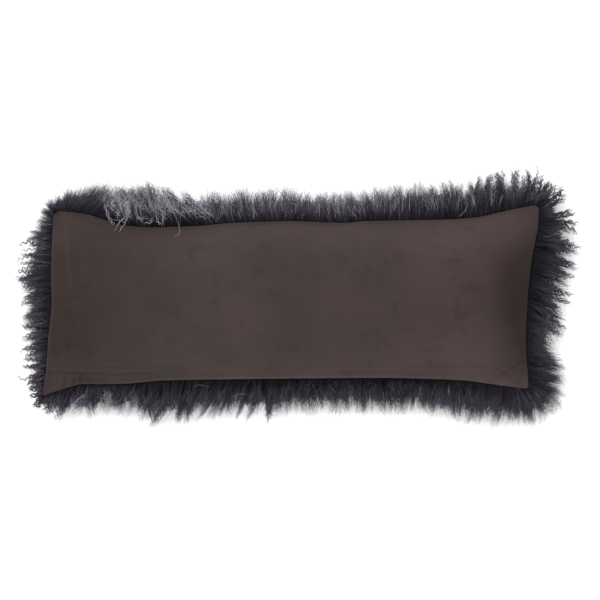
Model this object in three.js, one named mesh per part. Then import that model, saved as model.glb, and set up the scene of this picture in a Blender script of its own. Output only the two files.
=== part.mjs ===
// Oblong throw pillow, lying on its long-pile front with its plain suede back up.
// Millimetres, +Z up, +X along the pillow. The origin is on the surface it lies on,
// under the middle of its overall box.
//
// Two pieces: the filled cushion with its suede back, sewn all round on one seam, and
// the pile of the front pelt, a shallow bowl that holds the cushion's lower half,
// stands out past the seam all round and is pressed flat underneath.

import * as THREE from "three";

// ---- driving sizes -------------------------------------------------------------
const SEAM_HEIGHT = 74; //   the sewn edge above the surface, at mid-side
const CORNER_DROOP = 9; //   how much lower the four corners of the seam lie
const CROWN = 74; //         rise of the suede back above the seam
const BELLY = 66; //         depth of the front below the seam before it is pressed flat
const PRESSED_PILE = 15; //  pile crushed between the belly and the surface
const END_RISE = 175; //     length over which the crown dies away at each end
const CLEARANCE = 0.45; //   cushion to pile
const STEPS_LONG = 50; //    facets along and across the cushion
const STEPS_WIDE = 16;

// corners of the seam, seen from above, before rounding
const CORNERS = {
  topLeft: { x: -450, y: 159, round: 17 },
  topRight: { x: 437.5, y: 171, round: 16 },
  bottomRight: { x: 417, y: -167, round: 4 },
  bottomLeft: { x: -470.5, y: -180, round: 3 },
};

// how far the fill draws each side in from the straight line between its corners;
// along runs clockwise from corner to corner
const DRAWN_IN = [
  { side: "top", along: 0.065, inward: 7.6 },
  { side: "top", along: 0.11, inward: 20.5 },
  { side: "top", along: 0.148, inward: 30 },
  { side: "top", along: 0.2, inward: 33.8 },
  { side: "top", along: 0.28, inward: 33 },
  { side: "top", along: 0.38, inward: 27.5 },
  { side: "top", along: 0.48, inward: 26 },
  { side: "top", along: 0.6, inward: 30.4 },
  { side: "top", along: 0.64, inward: 27.8 },
  { side: "top", along: 0.8, inward: 27 },
  { side: "top", along: 0.86, inward: 24.4 },
  { side: "top", along: 0.94, inward: 10.5 },
  { side: "right", along: 0.13, inward: 1.2 },
  { side: "right", along: 0.2, inward: 4.6 },
  { side: "right", along: 0.3, inward: 9.4 },
  { side: "right", along: 0.5, inward: 12.8 },
  { side: "right", along: 0.68, inward: 12.2 },
  { side: "right", along: 0.8, inward: 9.2 },
  { side: "right", along: 0.9, inward: 4 },
  { side: "bottom", along: 0.08, inward: 10.6 },
  { side: "bottom", along: 0.13, inward: 17.5 },
  { side: "bottom", along: 0.2, inward: 21.3 },
  { side: "bottom", along: 0.31, inward: 24.5 },
  { side: "bottom", along: 0.66, inward: 26.2 },
  { side: "bottom", along: 0.75, inward: 25.6 },
  { side: "bottom", along: 0.83, inward: 20.8 },
  { side: "bottom", along: 0.915, inward: 20.6 },
  { side: "bottom", along: 0.97, inward: 9 },
  { side: "left", along: 0.07, inward: 1.2 },
  { side: "left", along: 0.14, inward: 5 },
  { side: "left", along: 0.3, inward: 5.7 },
  { side: "left", along: 0.48, inward: 8.7 },
  { side: "left", along: 0.66, inward: 4 },
  { side: "left", along: 0.85, inward: 1.4 },
];

// how far the pile stands out past the seam, seen from above; along as before
const PILE_REACH = [
  { side: "top", along: 0, reach: 28 },
  { side: "top", along: 0.03, reach: 42 },
  { side: "top", along: 0.08, reach: 62 },
  { side: "top", along: 0.15, reach: 67 },
  { side: "top", along: 0.22, reach: 76 },
  { side: "top", along: 0.3, reach: 63 },
  { side: "top", along: 0.38, reach: 57 },
  { side: "top", along: 0.45, reach: 60 },
  { side: "top", along: 0.55, reach: 52 },
  { side: "top", along: 0.67, reach: 58 },
  { side: "top", along: 0.77, reach: 66 },
  { side: "top", along: 0.84, reach: 62 },
  { side: "top", along: 0.93, reach: 67 },
  { side: "top", along: 0.98, reach: 50 },
  { side: "right", along: 0.04, reach: 49 },
  { side: "right", along: 0.12, reach: 65 },
  { side: "right", along: 0.2, reach: 75 },
  { side: "right", along: 0.35, reach: 76 },
  { side: "right", along: 0.45, reach: 69 },
  { side: "right", along: 0.55, reach: 73 },
  { side: "right", along: 0.65, reach: 60 },
  { side: "right", along: 0.75, reach: 54 },
  { side: "right", along: 0.88, reach: 62 },
  { side: "bottom", along: 0, reach: 64 },
  { side: "bottom", along: 0.04, reach: 71 },
  { side: "bottom", along: 0.12, reach: 73 },
  { side: "bottom", along: 0.23, reach: 63 },
  { side: "bottom", along: 0.37, reach: 65 },
  { side: "bottom", along: 0.47, reach: 61 },
  { side: "bottom", along: 0.54, reach: 71 },
  { side: "bottom", along: 0.62, reach: 66 },
  { side: "bottom", along: 0.73, reach: 80 },
  { side: "bottom", along: 0.83, reach: 60 },
  { side: "bottom", along: 0.92, reach: 57 },
  { side: "bottom", along: 0.97, reach: 43 },
  { side: "left", along: 0.01, reach: 25 },
  { side: "left", along: 0.09, reach: 36 },
  { side: "left", along: 0.2, reach: 38 },
  { side: "left", along: 0.35, reach: 46 },
  { side: "left", along: 0.5, reach: 55 },
  { side: "left", along: 0.7, reach: 61 },
  { side: "left", along: 0.85, reach: 48 },
  { side: "left", along: 0.95, reach: 27 },
];

// the pile's outer shape in section, from the seam outwards and down to the surface:
// out is a share of the reach, height a share of the seam's height
const PILE_SECTION = [
  { out: 0.3, height: 1.04 },
  { out: 0.68, height: 0.99 },
  { out: 0.9, height: 0.83 },
  { out: 1.0, height: 0.55 },
  { out: 0.95, height: 0.25 },
  { out: 0.82, height: 0.0 },
];

// ---- tables to smooth values ---------------------------------------------------
// monotone cubic through rows of [position, value]
function smoothTable(rows) {
  const n = rows.length;
  const slope = rows.slice(1).map((r, i) => (r[1] - rows[i][1]) / (r[0] - rows[i][0]));
  const tangent = rows.map((_, i) => {
    if (i === 0) return slope[0];
    if (i === n - 1) return slope[n - 2];
    return slope[i - 1] * slope[i] <= 0 ? 0 : (2 * slope[i - 1] * slope[i]) / (slope[i - 1] + slope[i]);
  });
  return (at) => {
    const t = Math.min(Math.max(at, rows[0][0]), rows[n - 1][0]);
    let i = 0;
    while (i < n - 2 && t > rows[i + 1][0]) i++;
    const w = rows[i + 1][0] - rows[i][0];
    const s = (t - rows[i][0]) / w;
    return (
      rows[i][1] * (1 + 2 * s) * (1 - s) ** 2 +
      tangent[i] * w * s * (1 - s) ** 2 +
      rows[i + 1][1] * s * s * (3 - 2 * s) +
      tangent[i + 1] * w * s * s * (s - 1)
    );
  };
}

// ---- the seam ------------------------------------------------------------------
const SIDES = {
  top: { from: "topLeft", to: "topRight" },
  right: { from: "topRight", to: "bottomRight" },
  bottom: { from: "bottomRight", to: "bottomLeft" },
  left: { from: "bottomLeft", to: "topLeft" },
};
const SIDE_ORDER = ["top", "right", "bottom", "left"];

const bow = Object.fromEntries(
  SIDE_ORDER.map((side) => [
    side,
    smoothTable([[0, 0], ...DRAWN_IN.filter((r) => r.side === side).map((r) => [r.along, r.inward]), [1, 0]]),
  ]),
);

function bowedSide(side, along) {
  const a = CORNERS[SIDES[side].from];
  const b = CORNERS[SIDES[side].to];
  const length = Math.hypot(b.x - a.x, b.y - a.y);
  const inwards = { x: (b.y - a.y) / length, y: -(b.x - a.x) / length };
  const d = bow[side](along);
  return { x: a.x + (b.x - a.x) * along + inwards.x * d, y: a.y + (b.y - a.y) * along + inwards.y * d };
}

// a corner is rounded off with one smooth bend between the points where it starts
function bendAt(corner, t) {
  const before = SIDE_ORDER.find((s) => SIDES[s].to === corner);
  const after = SIDE_ORDER.find((s) => SIDES[s].from === corner);
  const c = CORNERS[corner];
  const span = (s) => {
    const a = CORNERS[SIDES[s].from];
    const b = CORNERS[SIDES[s].to];
    return c.round / Math.hypot(b.x - a.x, b.y - a.y);
  };
  const p = bowedSide(before, 1 - span(before));
  const q = bowedSide(after, span(after));
  return {
    x: p.x * (1 - t) ** 2 + 2 * c.x * t * (1 - t) + q.x * t * t,
    y: p.y * (1 - t) ** 2 + 2 * c.y * t * (1 - t) + q.y * t * t,
  };
}

function seam(side, along) {
  const a = CORNERS[SIDES[side].from];
  const b = CORNERS[SIDES[side].to];
  const length = Math.hypot(b.x - a.x, b.y - a.y);
  const fromStart = along * length;
  const toEnd = (1 - along) * length;
  if (fromStart < a.round) return bendAt(SIDES[side].from, 0.5 + (0.5 * fromStart) / a.round);
  if (toEnd < b.round) return bendAt(SIDES[side].to, 0.5 - (0.5 * toEnd) / b.round);
  return bowedSide(side, along);
}

// ---- the cushion ---------------------------------------------------------------
// stations crowd a little towards the ends, where the seam turns
const crowd = (t) => t - 0.085 * Math.sin(2 * Math.PI * t);

// a point of the plan inside the four sides: u left to right, v bottom to top
function plan(u, v) {
  const T = seam("top", u);
  const B = seam("bottom", 1 - u);
  const L = seam("left", v);
  const R = seam("right", 1 - v);
  const c00 = seam("left", 0);
  const c10 = seam("right", 1);
  const c01 = seam("top", 0);
  const c11 = seam("top", 1);
  const mix = (k) =>
    (1 - v) * B[k] + v * T[k] + (1 - u) * L[k] + u * R[k] -
    ((1 - u) * (1 - v) * c00[k] + u * (1 - v) * c10[k] + (1 - u) * v * c01[k] + u * v * c11[k]);
  return { x: mix("x"), y: mix("y") };
}

const LENGTH = CORNERS.topRight.x - CORNERS.topLeft.x;
const rounded = (s) => Math.pow(Math.max(0, 1 - Math.pow(s, 2.4)), 0.8);

// how full the cushion is at a point: 0 at the seam, 1 along the middle
function fullness(u, v) {
  const fromEnd = Math.min(u, 1 - u) * LENGTH;
  return rounded(Math.abs(2 * v - 1)) * rounded(Math.max(0, 1 - fromEnd / END_RISE));
}

const seamHeight = (u, v) => SEAM_HEIGHT - CORNER_DROOP * Math.abs(2 * u - 1) ** 10 * Math.abs(2 * v - 1) ** 2;

function backPoint(u, v) {
  const p = plan(u, v);
  return new THREE.Vector3(p.x, p.y, seamHeight(u, v) + CROWN * fullness(u, v));
}

// the belly sinks until the crushed pile stops it, over a soft bend
function bellyPoint(u, v) {
  const p = plan(u, v);
  const free = seamHeight(u, v) - BELLY * 1.12 * fullness(u, v);
  const bend = 14;
  const over = free - PRESSED_PILE;
  return new THREE.Vector3(p.x, p.y, PRESSED_PILE + 0.5 * (over + Math.sqrt(over * over + bend * bend)) - bend * 0.12);
}

// ---- mesh helpers --------------------------------------------------------------
class Skin {
  constructor() {
    this.points = [];
    this.faces = [];
  }
  add(p) {
    this.points.push(p);
    return this.points.length - 1;
  }
  quad(a, b, c, d) {
    // the shorter diagonal
    const P = this.points;
    if (P[a].distanceTo(P[c]) <= P[b].distanceTo(P[d])) this.faces.push([a, b, c], [a, c, d]);
    else this.faces.push([a, b, d], [b, c, d]);
  }
  // a sheet of quads over the grid, facing up, or down if flipped
  sheet(grid, flipped) {
    for (let i = 0; i < STEPS_LONG; i++)
      for (let j = 0; j < STEPS_WIDE; j++) {
        const q = [grid[i][j], grid[i + 1][j], grid[i + 1][j + 1], grid[i][j + 1]];
        if (flipped) q.reverse();
        this.quad(...q);
      }
  }
  // a band of quads between two closed loops of equal count that run clockwise seen from above
  band(inner, outer) {
    for (let k = 0; k < inner.length; k++) {
      const m = (k + 1) % inner.length;
      this.quad(inner[k], outer[k], outer[m], inner[m]);
    }
  }
  geometry() {
    const g = new THREE.BufferGeometry();
    g.setAttribute("position", new THREE.Float32BufferAttribute(this.points.flatMap((p) => [p.x, p.y, p.z]), 3));
    g.setIndex(this.faces.flat());
    g.computeVertexNormals();
    return g;
  }
}

const stationsLong = Array.from({ length: STEPS_LONG + 1 }, (_, i) => crowd(i / STEPS_LONG));
const stationsWide = Array.from({ length: STEPS_WIDE + 1 }, (_, j) => crowd(j / STEPS_WIDE));

// the grid's rim, clockwise seen from above from the top left corner: [i, j, side, along]
const rim = [];
for (let i = 0; i < STEPS_LONG; i++) rim.push([i, STEPS_WIDE, "top", stationsLong[i]]);
for (let j = STEPS_WIDE; j > 0; j--) rim.push([STEPS_LONG, j, "right", 1 - stationsWide[j]]);
for (let i = STEPS_LONG; i > 0; i--) rim.push([i, 0, "bottom", 1 - stationsLong[i]]);
for (let j = 0; j < STEPS_WIDE; j++) rim.push([0, j, "left", stationsWide[j]]);

// ---- piece 1: the filled cushion with its suede back -----------------------------
const cushion = new Skin();
const backGrid = stationsLong.map((u) => stationsWide.map((v) => cushion.add(backPoint(u, v))));
const onRim = (i, j) => i === 0 || j === 0 || i === STEPS_LONG || j === STEPS_WIDE;
const bellyGrid = stationsLong.map((u, i) =>
  stationsWide.map((v, j) => {
    if (onRim(i, j)) return backGrid[i][j];
    const p = bellyPoint(u, v);
    // never above the seam's own level near the edge
    p.z = Math.min(p.z, seamHeight(u, v) - 0.5);
    return cushion.add(p);
  }),
);
cushion.sheet(backGrid, false);
cushion.sheet(bellyGrid, true);

// ---- piece 2: the pile of the front pelt ---------------------------------------
// its inside follows the belly at a small clearance
const bellySkin = new Skin();
const bellyAt = stationsLong.map((u, i) =>
  stationsWide.map((v, j) => bellySkin.add(cushion.points[bellyGrid[i][j]].clone())),
);
bellySkin.sheet(bellyAt, true);
const bellyNormals = bellySkin.points.map(() => new THREE.Vector3());
for (const [a, b, c] of bellySkin.faces) {
  const n = new THREE.Vector3()
    .subVectors(bellySkin.points[b], bellySkin.points[a])
    .cross(new THREE.Vector3().subVectors(bellySkin.points[c], bellySkin.points[a]));
  for (const k of [a, b, c]) bellyNormals[k].add(n);
}

// which way is outwards at each point of the rim, eased round the corners
const rimPoint = rim.map(([i, j]) => cushion.points[bellyGrid[i][j]]);
let outwards = rimPoint.map((_, k) => {
  const a = rimPoint[(k + rim.length - 1) % rim.length];
  const b = rimPoint[(k + 1) % rim.length];
  return new THREE.Vector3(-(b.y - a.y), b.x - a.x, 0).normalize();
});
for (let pass = 0; pass < 10; pass++)
  outwards = outwards.map((d, k) =>
    d
      .clone()
      .multiplyScalar(2)
      .add(outwards[(k + 1) % rim.length])
      .add(outwards[(k + rim.length - 1) % rim.length])
      .normalize(),
  );

const aroundRows = PILE_REACH.map((r) => [SIDE_ORDER.indexOf(r.side) + r.along, r.reach]);
const reachAt = smoothTable([
  [aroundRows.at(-1)[0] - 4, aroundRows.at(-1)[1]],
  ...aroundRows,
  [aroundRows[0][0] + 4, aroundRows[0][1]],
]);
const rimReach = rim.map(([, , side, along]) => reachAt(SIDE_ORDER.indexOf(side) + along));

const pile = new Skin();
const insideGrid = stationsLong.map((u, i) =>
  stationsWide.map((v, j) => {
    const k = bellyAt[i][j];
    const p = bellySkin.points[k].clone();
    if (onRim(i, j)) {
      const r = rim.findIndex(([ri, rj]) => ri === i && rj === j);
      return pile.add(p.addScaledVector(outwards[r], 1.4).add(new THREE.Vector3(0, 0, -0.9)));
    }
    return pile.add(p.addScaledVector(bellyNormals[k].clone().normalize(), CLEARANCE));
  }),
);
pile.sheet(insideGrid, false);
let previous = rim.map(([i, j]) => insideGrid[i][j]);
for (const row of PILE_SECTION) {
  const loop = rim.map((_, k) =>
    pile.add(
      rimPoint[k]
        .clone()
        .addScaledVector(outwards[k], rimReach[k] * row.out)
        .setZ(rimPoint[k].z * row.height),
    ),
  );
  pile.band(loop, previous);
  previous = loop;
}
// the pressed underside, one flat face
const base = previous.map((k) => new THREE.Vector2(pile.points[k].x, pile.points[k].y));
for (const [a, b, c] of THREE.ShapeUtils.triangulateShape(base, [])) {
  const [p, q, r] = [base[a], base[b], base[c]];
  const area = (q.x - p.x) * (r.y - p.y) - (r.x - p.x) * (q.y - p.y);
  pile.faces.push(area > 0 ? [previous[a], previous[c], previous[b]] : [previous[a], previous[b], previous[c]]);
}

// ---- the assembled pillow ------------------------------------------------------
const cushionMesh = new THREE.Mesh(
  cushion.geometry(),
  new THREE.MeshStandardMaterial({ color: 0x4b403e, roughness: 0.95, metalness: 0 }),
);
cushionMesh.name = "suede_cushion";

const pileMesh = new THREE.Mesh(
  pile.geometry(),
  new THREE.MeshStandardMaterial({ color: 0x3c3a42, roughness: 0.9, metalness: 0 }),
);
pileMesh.name = "fur_front";

const pillow = new THREE.Group();
pillow.add(cushionMesh, pileMesh);

// the origin under the middle of the overall box
const box = new THREE.Box3().setFromObject(pillow);
for (const mesh of [cushionMesh, pileMesh])
  mesh.geometry.translate(-(box.min.x + box.max.x) / 2, -(box.min.y + box.max.y) / 2, -box.min.z);

export default pillow;
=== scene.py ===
"""Oblong throw pillow lying on its long-pile front, with its plain suede back up.

Sizes below are millimetres in the plan that the seam was drawn in; shift() takes them to the frame, in metres.
"""

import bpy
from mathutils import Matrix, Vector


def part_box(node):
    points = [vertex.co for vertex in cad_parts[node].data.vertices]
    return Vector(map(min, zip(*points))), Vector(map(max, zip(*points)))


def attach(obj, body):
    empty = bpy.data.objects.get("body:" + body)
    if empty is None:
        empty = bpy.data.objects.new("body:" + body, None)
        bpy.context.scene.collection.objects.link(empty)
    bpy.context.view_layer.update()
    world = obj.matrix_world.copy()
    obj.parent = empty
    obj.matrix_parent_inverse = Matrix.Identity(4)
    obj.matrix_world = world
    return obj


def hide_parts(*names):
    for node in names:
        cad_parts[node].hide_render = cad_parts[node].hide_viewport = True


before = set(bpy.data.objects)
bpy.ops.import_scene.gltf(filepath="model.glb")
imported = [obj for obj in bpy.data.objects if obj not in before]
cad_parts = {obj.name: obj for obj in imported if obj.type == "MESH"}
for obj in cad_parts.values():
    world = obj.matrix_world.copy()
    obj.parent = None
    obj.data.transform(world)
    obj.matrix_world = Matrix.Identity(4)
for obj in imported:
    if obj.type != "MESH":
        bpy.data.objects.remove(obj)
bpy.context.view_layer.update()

import math

import bpy
import numpy as np
from mathutils import Vector

# ---------------------------------------------------------------------------------------------------------------
# Named sizes, as in the CAD
# ---------------------------------------------------------------------------------------------------------------
SEAM_HEIGHT = 74.0
CORNER_DROOP = 9.0
CROWN = 74.0
BELLY = 66.0
PRESSED_PILE = 15.0
END_RISE = 175.0

CORNERS = {
    "topLeft": (-450.0, 159.0, 17.0),
    "topRight": (437.5, 171.0, 16.0),
    "bottomRight": (417.0, -167.0, 4.0),
    "bottomLeft": (-470.5, -180.0, 3.0),
}
SIDES = (
    ("top", "topLeft", "topRight"),
    ("right", "topRight", "bottomRight"),
    ("bottom", "bottomRight", "bottomLeft"),
    ("left", "bottomLeft", "topLeft"),
)
# side: (along, drawn in) rows, along runs clockwise
DRAWN_IN = {
    "top": (
        (0.065, 7.6), (0.11, 20.5), (0.148, 30), (0.2, 33.8), (0.28, 33), (0.38, 27.5), (0.48, 26), (0.6, 30.4),
        (0.64, 27.8), (0.8, 27), (0.86, 24.4), (0.94, 10.5),
    ),
    "right": (
        (0.13, 1.2), (0.2, 4.6), (0.3, 9.4), (0.5, 12.8), (0.68, 12.2), (0.8, 9.2), (0.9, 4),
    ),
    "bottom": (
        (0.08, 10.6), (0.13, 17.5), (0.2, 21.3), (0.31, 24.5), (0.66, 26.2), (0.75, 25.6), (0.83, 20.8),
        (0.915, 20.6), (0.97, 9),
    ),
    "left": (
        (0.07, 1.2), (0.14, 5), (0.3, 5.7), (0.48, 8.7), (0.66, 4), (0.85, 1.4),
    ),
}
# side: (along, reach of the pile past the seam) rows
PILE_REACH = {
    "top": (
        (0.0, 28), (0.03, 42), (0.08, 62), (0.15, 67), (0.22, 76), (0.3, 63), (0.38, 57), (0.45, 60),
        (0.55, 52), (0.67, 58), (0.77, 66), (0.84, 62), (0.93, 67), (0.98, 50),
    ),
    "right": ((0.04, 49), (0.12, 65), (0.2, 75), (0.35, 76), (0.45, 69), (0.55, 73), (0.65, 60), (0.75, 54), (0.88, 62)),
    "bottom": (
        (0.0, 64), (0.04, 71), (0.12, 73), (0.23, 63), (0.37, 65), (0.47, 61), (0.54, 71), (0.62, 66),
        (0.73, 80), (0.83, 60), (0.92, 57), (0.97, 43),
    ),
    "left": ((0.01, 25), (0.09, 36), (0.2, 38), (0.35, 46), (0.5, 55), (0.7, 61), (0.85, 48), (0.95, 27)),
}


def smooth_table(rows, period=None):
    """Monotone cubic through (position, value) rows, as a function of an array."""
    rows = sorted((float(a), float(b)) for a, b in rows)
    if period:
        rows = [(rows[-1][0] - period, rows[-1][1])] + rows + [(rows[0][0] + period, rows[0][1])]
    x = np.array([r[0] for r in rows])
    y = np.array([r[1] for r in rows])
    w = np.diff(x)
    slope = np.diff(y) / w
    tan = np.zeros(len(x))
    tan[0], tan[-1] = slope[0], slope[-1]
    a, b = slope[:-1], slope[1:]
    ok = a * b > 0
    tan[1:-1][ok] = 2 * a[ok] * b[ok] / (a + b)[ok]

    def at(t):
        t = np.asarray(t, float)
        if period:
            t = (t - x[0]) % period + x[0]
        t = np.clip(t, x[0], x[-1])
        i = np.clip(np.searchsorted(x, t, side="right") - 1, 0, len(w) - 1)
        s = (t - x[i]) / w[i]
        return (
            y[i] * (1 + 2 * s) * (1 - s) ** 2
            + tan[i] * w[i] * s * (1 - s) ** 2
            + y[i + 1] * s * s * (3 - 2 * s)
            + tan[i + 1] * w[i] * s * s * (s - 1)
        )

    return at


BOW = {name: smooth_table(((0, 0),) + DRAWN_IN[name] + ((1, 0),)) for name, _, _ in SIDES}
reach_at = smooth_table(
    [(k + along, reach) for k, (name, _, _) in enumerate(SIDES) for along, reach in PILE_REACH[name]], period=4
)


def bowed(k, along):
    name, start, end = SIDES[k]
    a, b = np.array(CORNERS[start][:2]), np.array(CORNERS[end][:2])
    d = b - a
    inwards = np.array((d[1], -d[0])) / np.hypot(*d)
    along = np.asarray(along, float)[..., None]
    return a + d * along + inwards * BOW[name](along)


def seam(k, along):
    """Points of the seam, seen from above, on side k."""
    name, start, end = SIDES[k]
    along = np.asarray(along, float)
    out = bowed(k, along)

    def length(j):
        return math.dist(CORNERS[SIDES[j][1]][:2], CORNERS[SIDES[j][2]][:2])

    for corner, from_start in ((start, True), (end, False)):
        r = CORNERS[corner][2]
        c = np.array(CORNERS[corner][:2])
        before, after = ((k - 1) % 4, k) if from_start else (k, (k + 1) % 4)
        p = bowed(before, 1 - r / length(before))
        q = bowed(after, r / length(after))
        gone = (along if from_start else 1 - along) * length(k)
        t = (0.5 + 0.5 * gone / r) if from_start else (0.5 - 0.5 * gone / r)
        bend = p * ((1 - t) ** 2)[..., None] + 2 * c * (t * (1 - t))[..., None] + q * (t * t)[..., None]
        out = np.where((gone < r)[..., None], bend, out)
    return out


def plan(u, v):
    """Points inside the seam, seen from above: u left to right, v bottom to top."""
    u, v = np.broadcast_arrays(np.asarray(u, float), np.asarray(v, float))
    T, B = seam(0, u), seam(2, 1 - u)
    L, R = seam(3, v), seam(1, 1 - v)
    c00, c10, c01, c11 = seam(3, 0.0), seam(1, 1.0), seam(0, 0.0), seam(0, 1.0)
    U, V = u[..., None], v[..., None]
    return (
        (1 - V) * B + V * T + (1 - U) * L + U * R
        - ((1 - U) * (1 - V) * c00 + U * (1 - V) * c10 + (1 - U) * V * c01 + U * V * c11)
    )


LENGTH = CORNERS["topRight"][0] - CORNERS["topLeft"][0]


def rounded(s):
    return np.power(np.clip(1 - np.power(np.clip(s, 0, None), 2.4), 0, None), 0.8)


def fullness(u, v):
    from_end = np.minimum(u, 1 - u) * LENGTH
    return rounded(np.abs(2 * v - 1)) * rounded(np.clip(1 - from_end / END_RISE, 0, None))


def seam_height(u, v):
    return SEAM_HEIGHT - CORNER_DROOP * np.abs(2 * u - 1) ** 10 * np.abs(2 * v - 1) ** 2


def back_height(u, v):
    return seam_height(u, v) + CROWN * fullness(u, v)


def belly_height(u, v):
    free = seam_height(u, v) - BELLY * 1.12 * fullness(u, v)
    over = free - PRESSED_PILE
    z = PRESSED_PILE + 0.5 * (over + np.sqrt(over * over + 14.0**2)) - 14.0 * 0.12
    return np.minimum(z, seam_height(u, v) - 0.5)


# the plan's own origin to the frame's
_rim = np.concatenate([seam(k, np.linspace(0, 1, 400)) for k in range(4)])
_lo, _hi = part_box("suede_cushion")
SHIFT = np.array(
    (
        (_lo.x + _hi.x) * 500 - (_rim[:, 0].min() + _rim[:, 0].max()) / 2,
        (_lo.y + _hi.y) * 500 - (_rim[:, 1].min() + _rim[:, 1].max()) / 2,
        0.0,
    )
)


def shift(points):
    return (np.asarray(points, float) + SHIFT) * 0.001


def smoothstep(a, b, x):
    t = np.clip((x - a) / (b - a), 0, 1)
    return t * t * (3 - 2 * t)


# ---------------------------------------------------------------------------------------------------------------
# Small helpers
# ---------------------------------------------------------------------------------------------------------------
def new_mesh(name, verts, faces, smooth=True):
    """A mesh object from an array of points in metres and an array of quads (a triangle repeats its last corner)."""
    me = bpy.data.meshes.new(name)
    verts = np.asarray(verts, np.float32)
    faces = np.asarray(faces, np.int32)
    tri = faces[:, 2] == faces[:, 3]
    counts = np.where(tri, 3, 4)
    starts = np.concatenate(([0], np.cumsum(counts)[:-1])).astype(np.int32)
    keep = np.ones(faces.shape, bool)
    keep[tri, 3] = False
    loops = faces[keep]
    me.vertices.add(len(verts))
    me.vertices.foreach_set("co", verts.ravel())
    me.loops.add(len(loops))
    me.loops.foreach_set("vertex_index", loops.ravel())
    me.polygons.add(len(faces))
    me.polygons.foreach_set("loop_start", starts)
    me.update(calc_edges=True)
    me.polygons.foreach_set("use_smooth", np.full(len(faces), smooth))
    ob = bpy.data.objects.new(name, me)
    bpy.context.scene.collection.objects.link(ob)
    return ob


def grid_faces(n, m, first=0, flipped=False):
    i, j = np.meshgrid(np.arange(n - 1), np.arange(m - 1), indexing="ij")
    a = first + i * m + j
    q = np.stack([a, a + m, a + m + 1, a + 1], -1).reshape(-1, 4)
    return q[:, ::-1] if flipped else q


class Nodes:
    """A short way to write a material's nodes."""

    def __init__(self, name):
        self.mat = bpy.data.materials.new(name)
        self.mat.use_nodes = True
        self.tree = self.mat.node_tree
        self.tree.nodes.clear()
        self.out = self.tree.nodes.new("ShaderNodeOutputMaterial")
        self.bsdf = self.tree.nodes.new("ShaderNodeBsdfPrincipled")
        self.tree.links.new(self.bsdf.outputs[0], self.out.inputs[0])

    def node(self, kind, values=None, **props):
        n = self.tree.nodes.new(kind)
        for k, v in props.items():
            setattr(n, k, v)
        for k, v in (values or {}).items():
            self.set(n.inputs[k], v)
        return n

    def set(self, socket, value):
        if isinstance(value, bpy.types.NodeSocket):
            self.tree.links.new(value, socket)
        else:
            socket.default_value = value

    def math(self, op, a, b=0.0, c=0.0, clamp=False):
        n = self.tree.nodes.new("ShaderNodeMath")
        n.operation, n.use_clamp = op, clamp
        for s, v in zip(n.inputs, (a, b, c)):
            self.set(s, v)
        return n.outputs[0]

    def mix(self, factor, a, b):
        n = self.tree.nodes.new("ShaderNodeMix")
        n.data_type = "RGBA"
        self.set(n.inputs[0], factor)
        self.set(n.inputs[6], a)
        self.set(n.inputs[7], b)
        return n.outputs[2]

    def ramp(self, factor, stops, interpolation="EASE"):
        n = self.tree.nodes.new("ShaderNodeValToRGB")
        n.color_ramp.interpolation = interpolation
        e = n.color_ramp.elements
        while len(e) > len(stops):
            e.remove(e[-1])
        while len(e) < len(stops):
            e.new(1.0)
        for k, (at, colour) in enumerate(stops):
            e[k].position = at
            e[k].color = colour if len(colour) == 4 else (*colour, 1.0)
        self.set(n.inputs[0], factor)
        return n.outputs[0]

    def noise(self, vector, scale, detail=3.0, rough=0.5, distortion=0.0, dims="3D"):
        n = self.node("ShaderNodeTexNoise", noise_dimensions=dims)
        self.set(n.inputs["Vector"], vector)
        n.inputs["Scale"].default_value = scale
        n.inputs["Detail"].default_value = detail
        n.inputs["Roughness"].default_value = rough
        n.inputs["Distortion"].default_value = distortion
        return n.outputs["Fac"]

    def span(self, value, lo, hi, to_lo=0.0, to_hi=1.0, smooth=True):
        n = self.node("ShaderNodeMapRange")
        n.interpolation_type = "SMOOTHSTEP" if smooth else "LINEAR"
        for k, v in zip(("Value", "From Min", "From Max", "To Min", "To Max"), (value, lo, hi, to_lo, to_hi)):
            self.set(n.inputs[k], v)
        return n.outputs[0]


def srgb(r, g, b):
    """Linear colour of an 8-bit one."""
    return tuple(c / 12.92 if c <= 0.04045 else ((c + 0.055) / 1.055) ** 2.4 for c in (r / 255, g / 255, b / 255))


# ---------------------------------------------------------------------------------------------------------------
# Camera, light, floor
# ---------------------------------------------------------------------------------------------------------------
scene = bpy.context.scene
scene.view_settings.view_transform = "Standard"
scene.view_settings.look = "None"
scene.view_settings.exposure = 0.0
scene.view_settings.gamma = 1.0

MM_PER_PIXEL = 1.82
CAMERA_HEIGHT = 3.4  # metres over the seam: a long lens, square on to the back
cam_data = bpy.data.cameras.new("camera")
cam_data.sensor_width = 36.0
cam_data.lens = 36.0 * CAMERA_HEIGHT / (600 * MM_PER_PIXEL * 0.001)
cam_data.clip_end = 60
cam = bpy.data.objects.new("camera", cam_data)
scene.collection.objects.link(cam)
centre = shift((0.0, -2.5 * MM_PER_PIXEL, 0.0))
cam.location = (centre[0], centre[1], SEAM_HEIGHT * 0.001 + CAMERA_HEIGHT)
cam.rotation_euler = (0, 0, 0)
scene.camera = cam

world = bpy.data.worlds.new("studio")
scene.world = world
world.use_nodes = True
world.node_tree.nodes["Background"].inputs[0].default_value = (1.0, 1.0, 1.0, 1.0)
world.node_tree.nodes["Background"].inputs[1].default_value = 0.9


def area_light(name, at, target, size, power):
    data = bpy.data.lights.new(name, "AREA")
    data.shape = "RECTANGLE"
    data.size, data.size_y = size
    data.energy = power
    ob = bpy.data.objects.new(name, data)
    scene.collection.objects.link(ob)
    ob.location = at
    ob.rotation_euler = (Vector(target) - Vector(at)).to_track_quat("-Z", "Y").to_euler()
    return ob


area_light("key", (-0.7, 0.9, 4.2), (0.0, 0.0, 0.07), (2.8, 2.8), 170.0)

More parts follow.
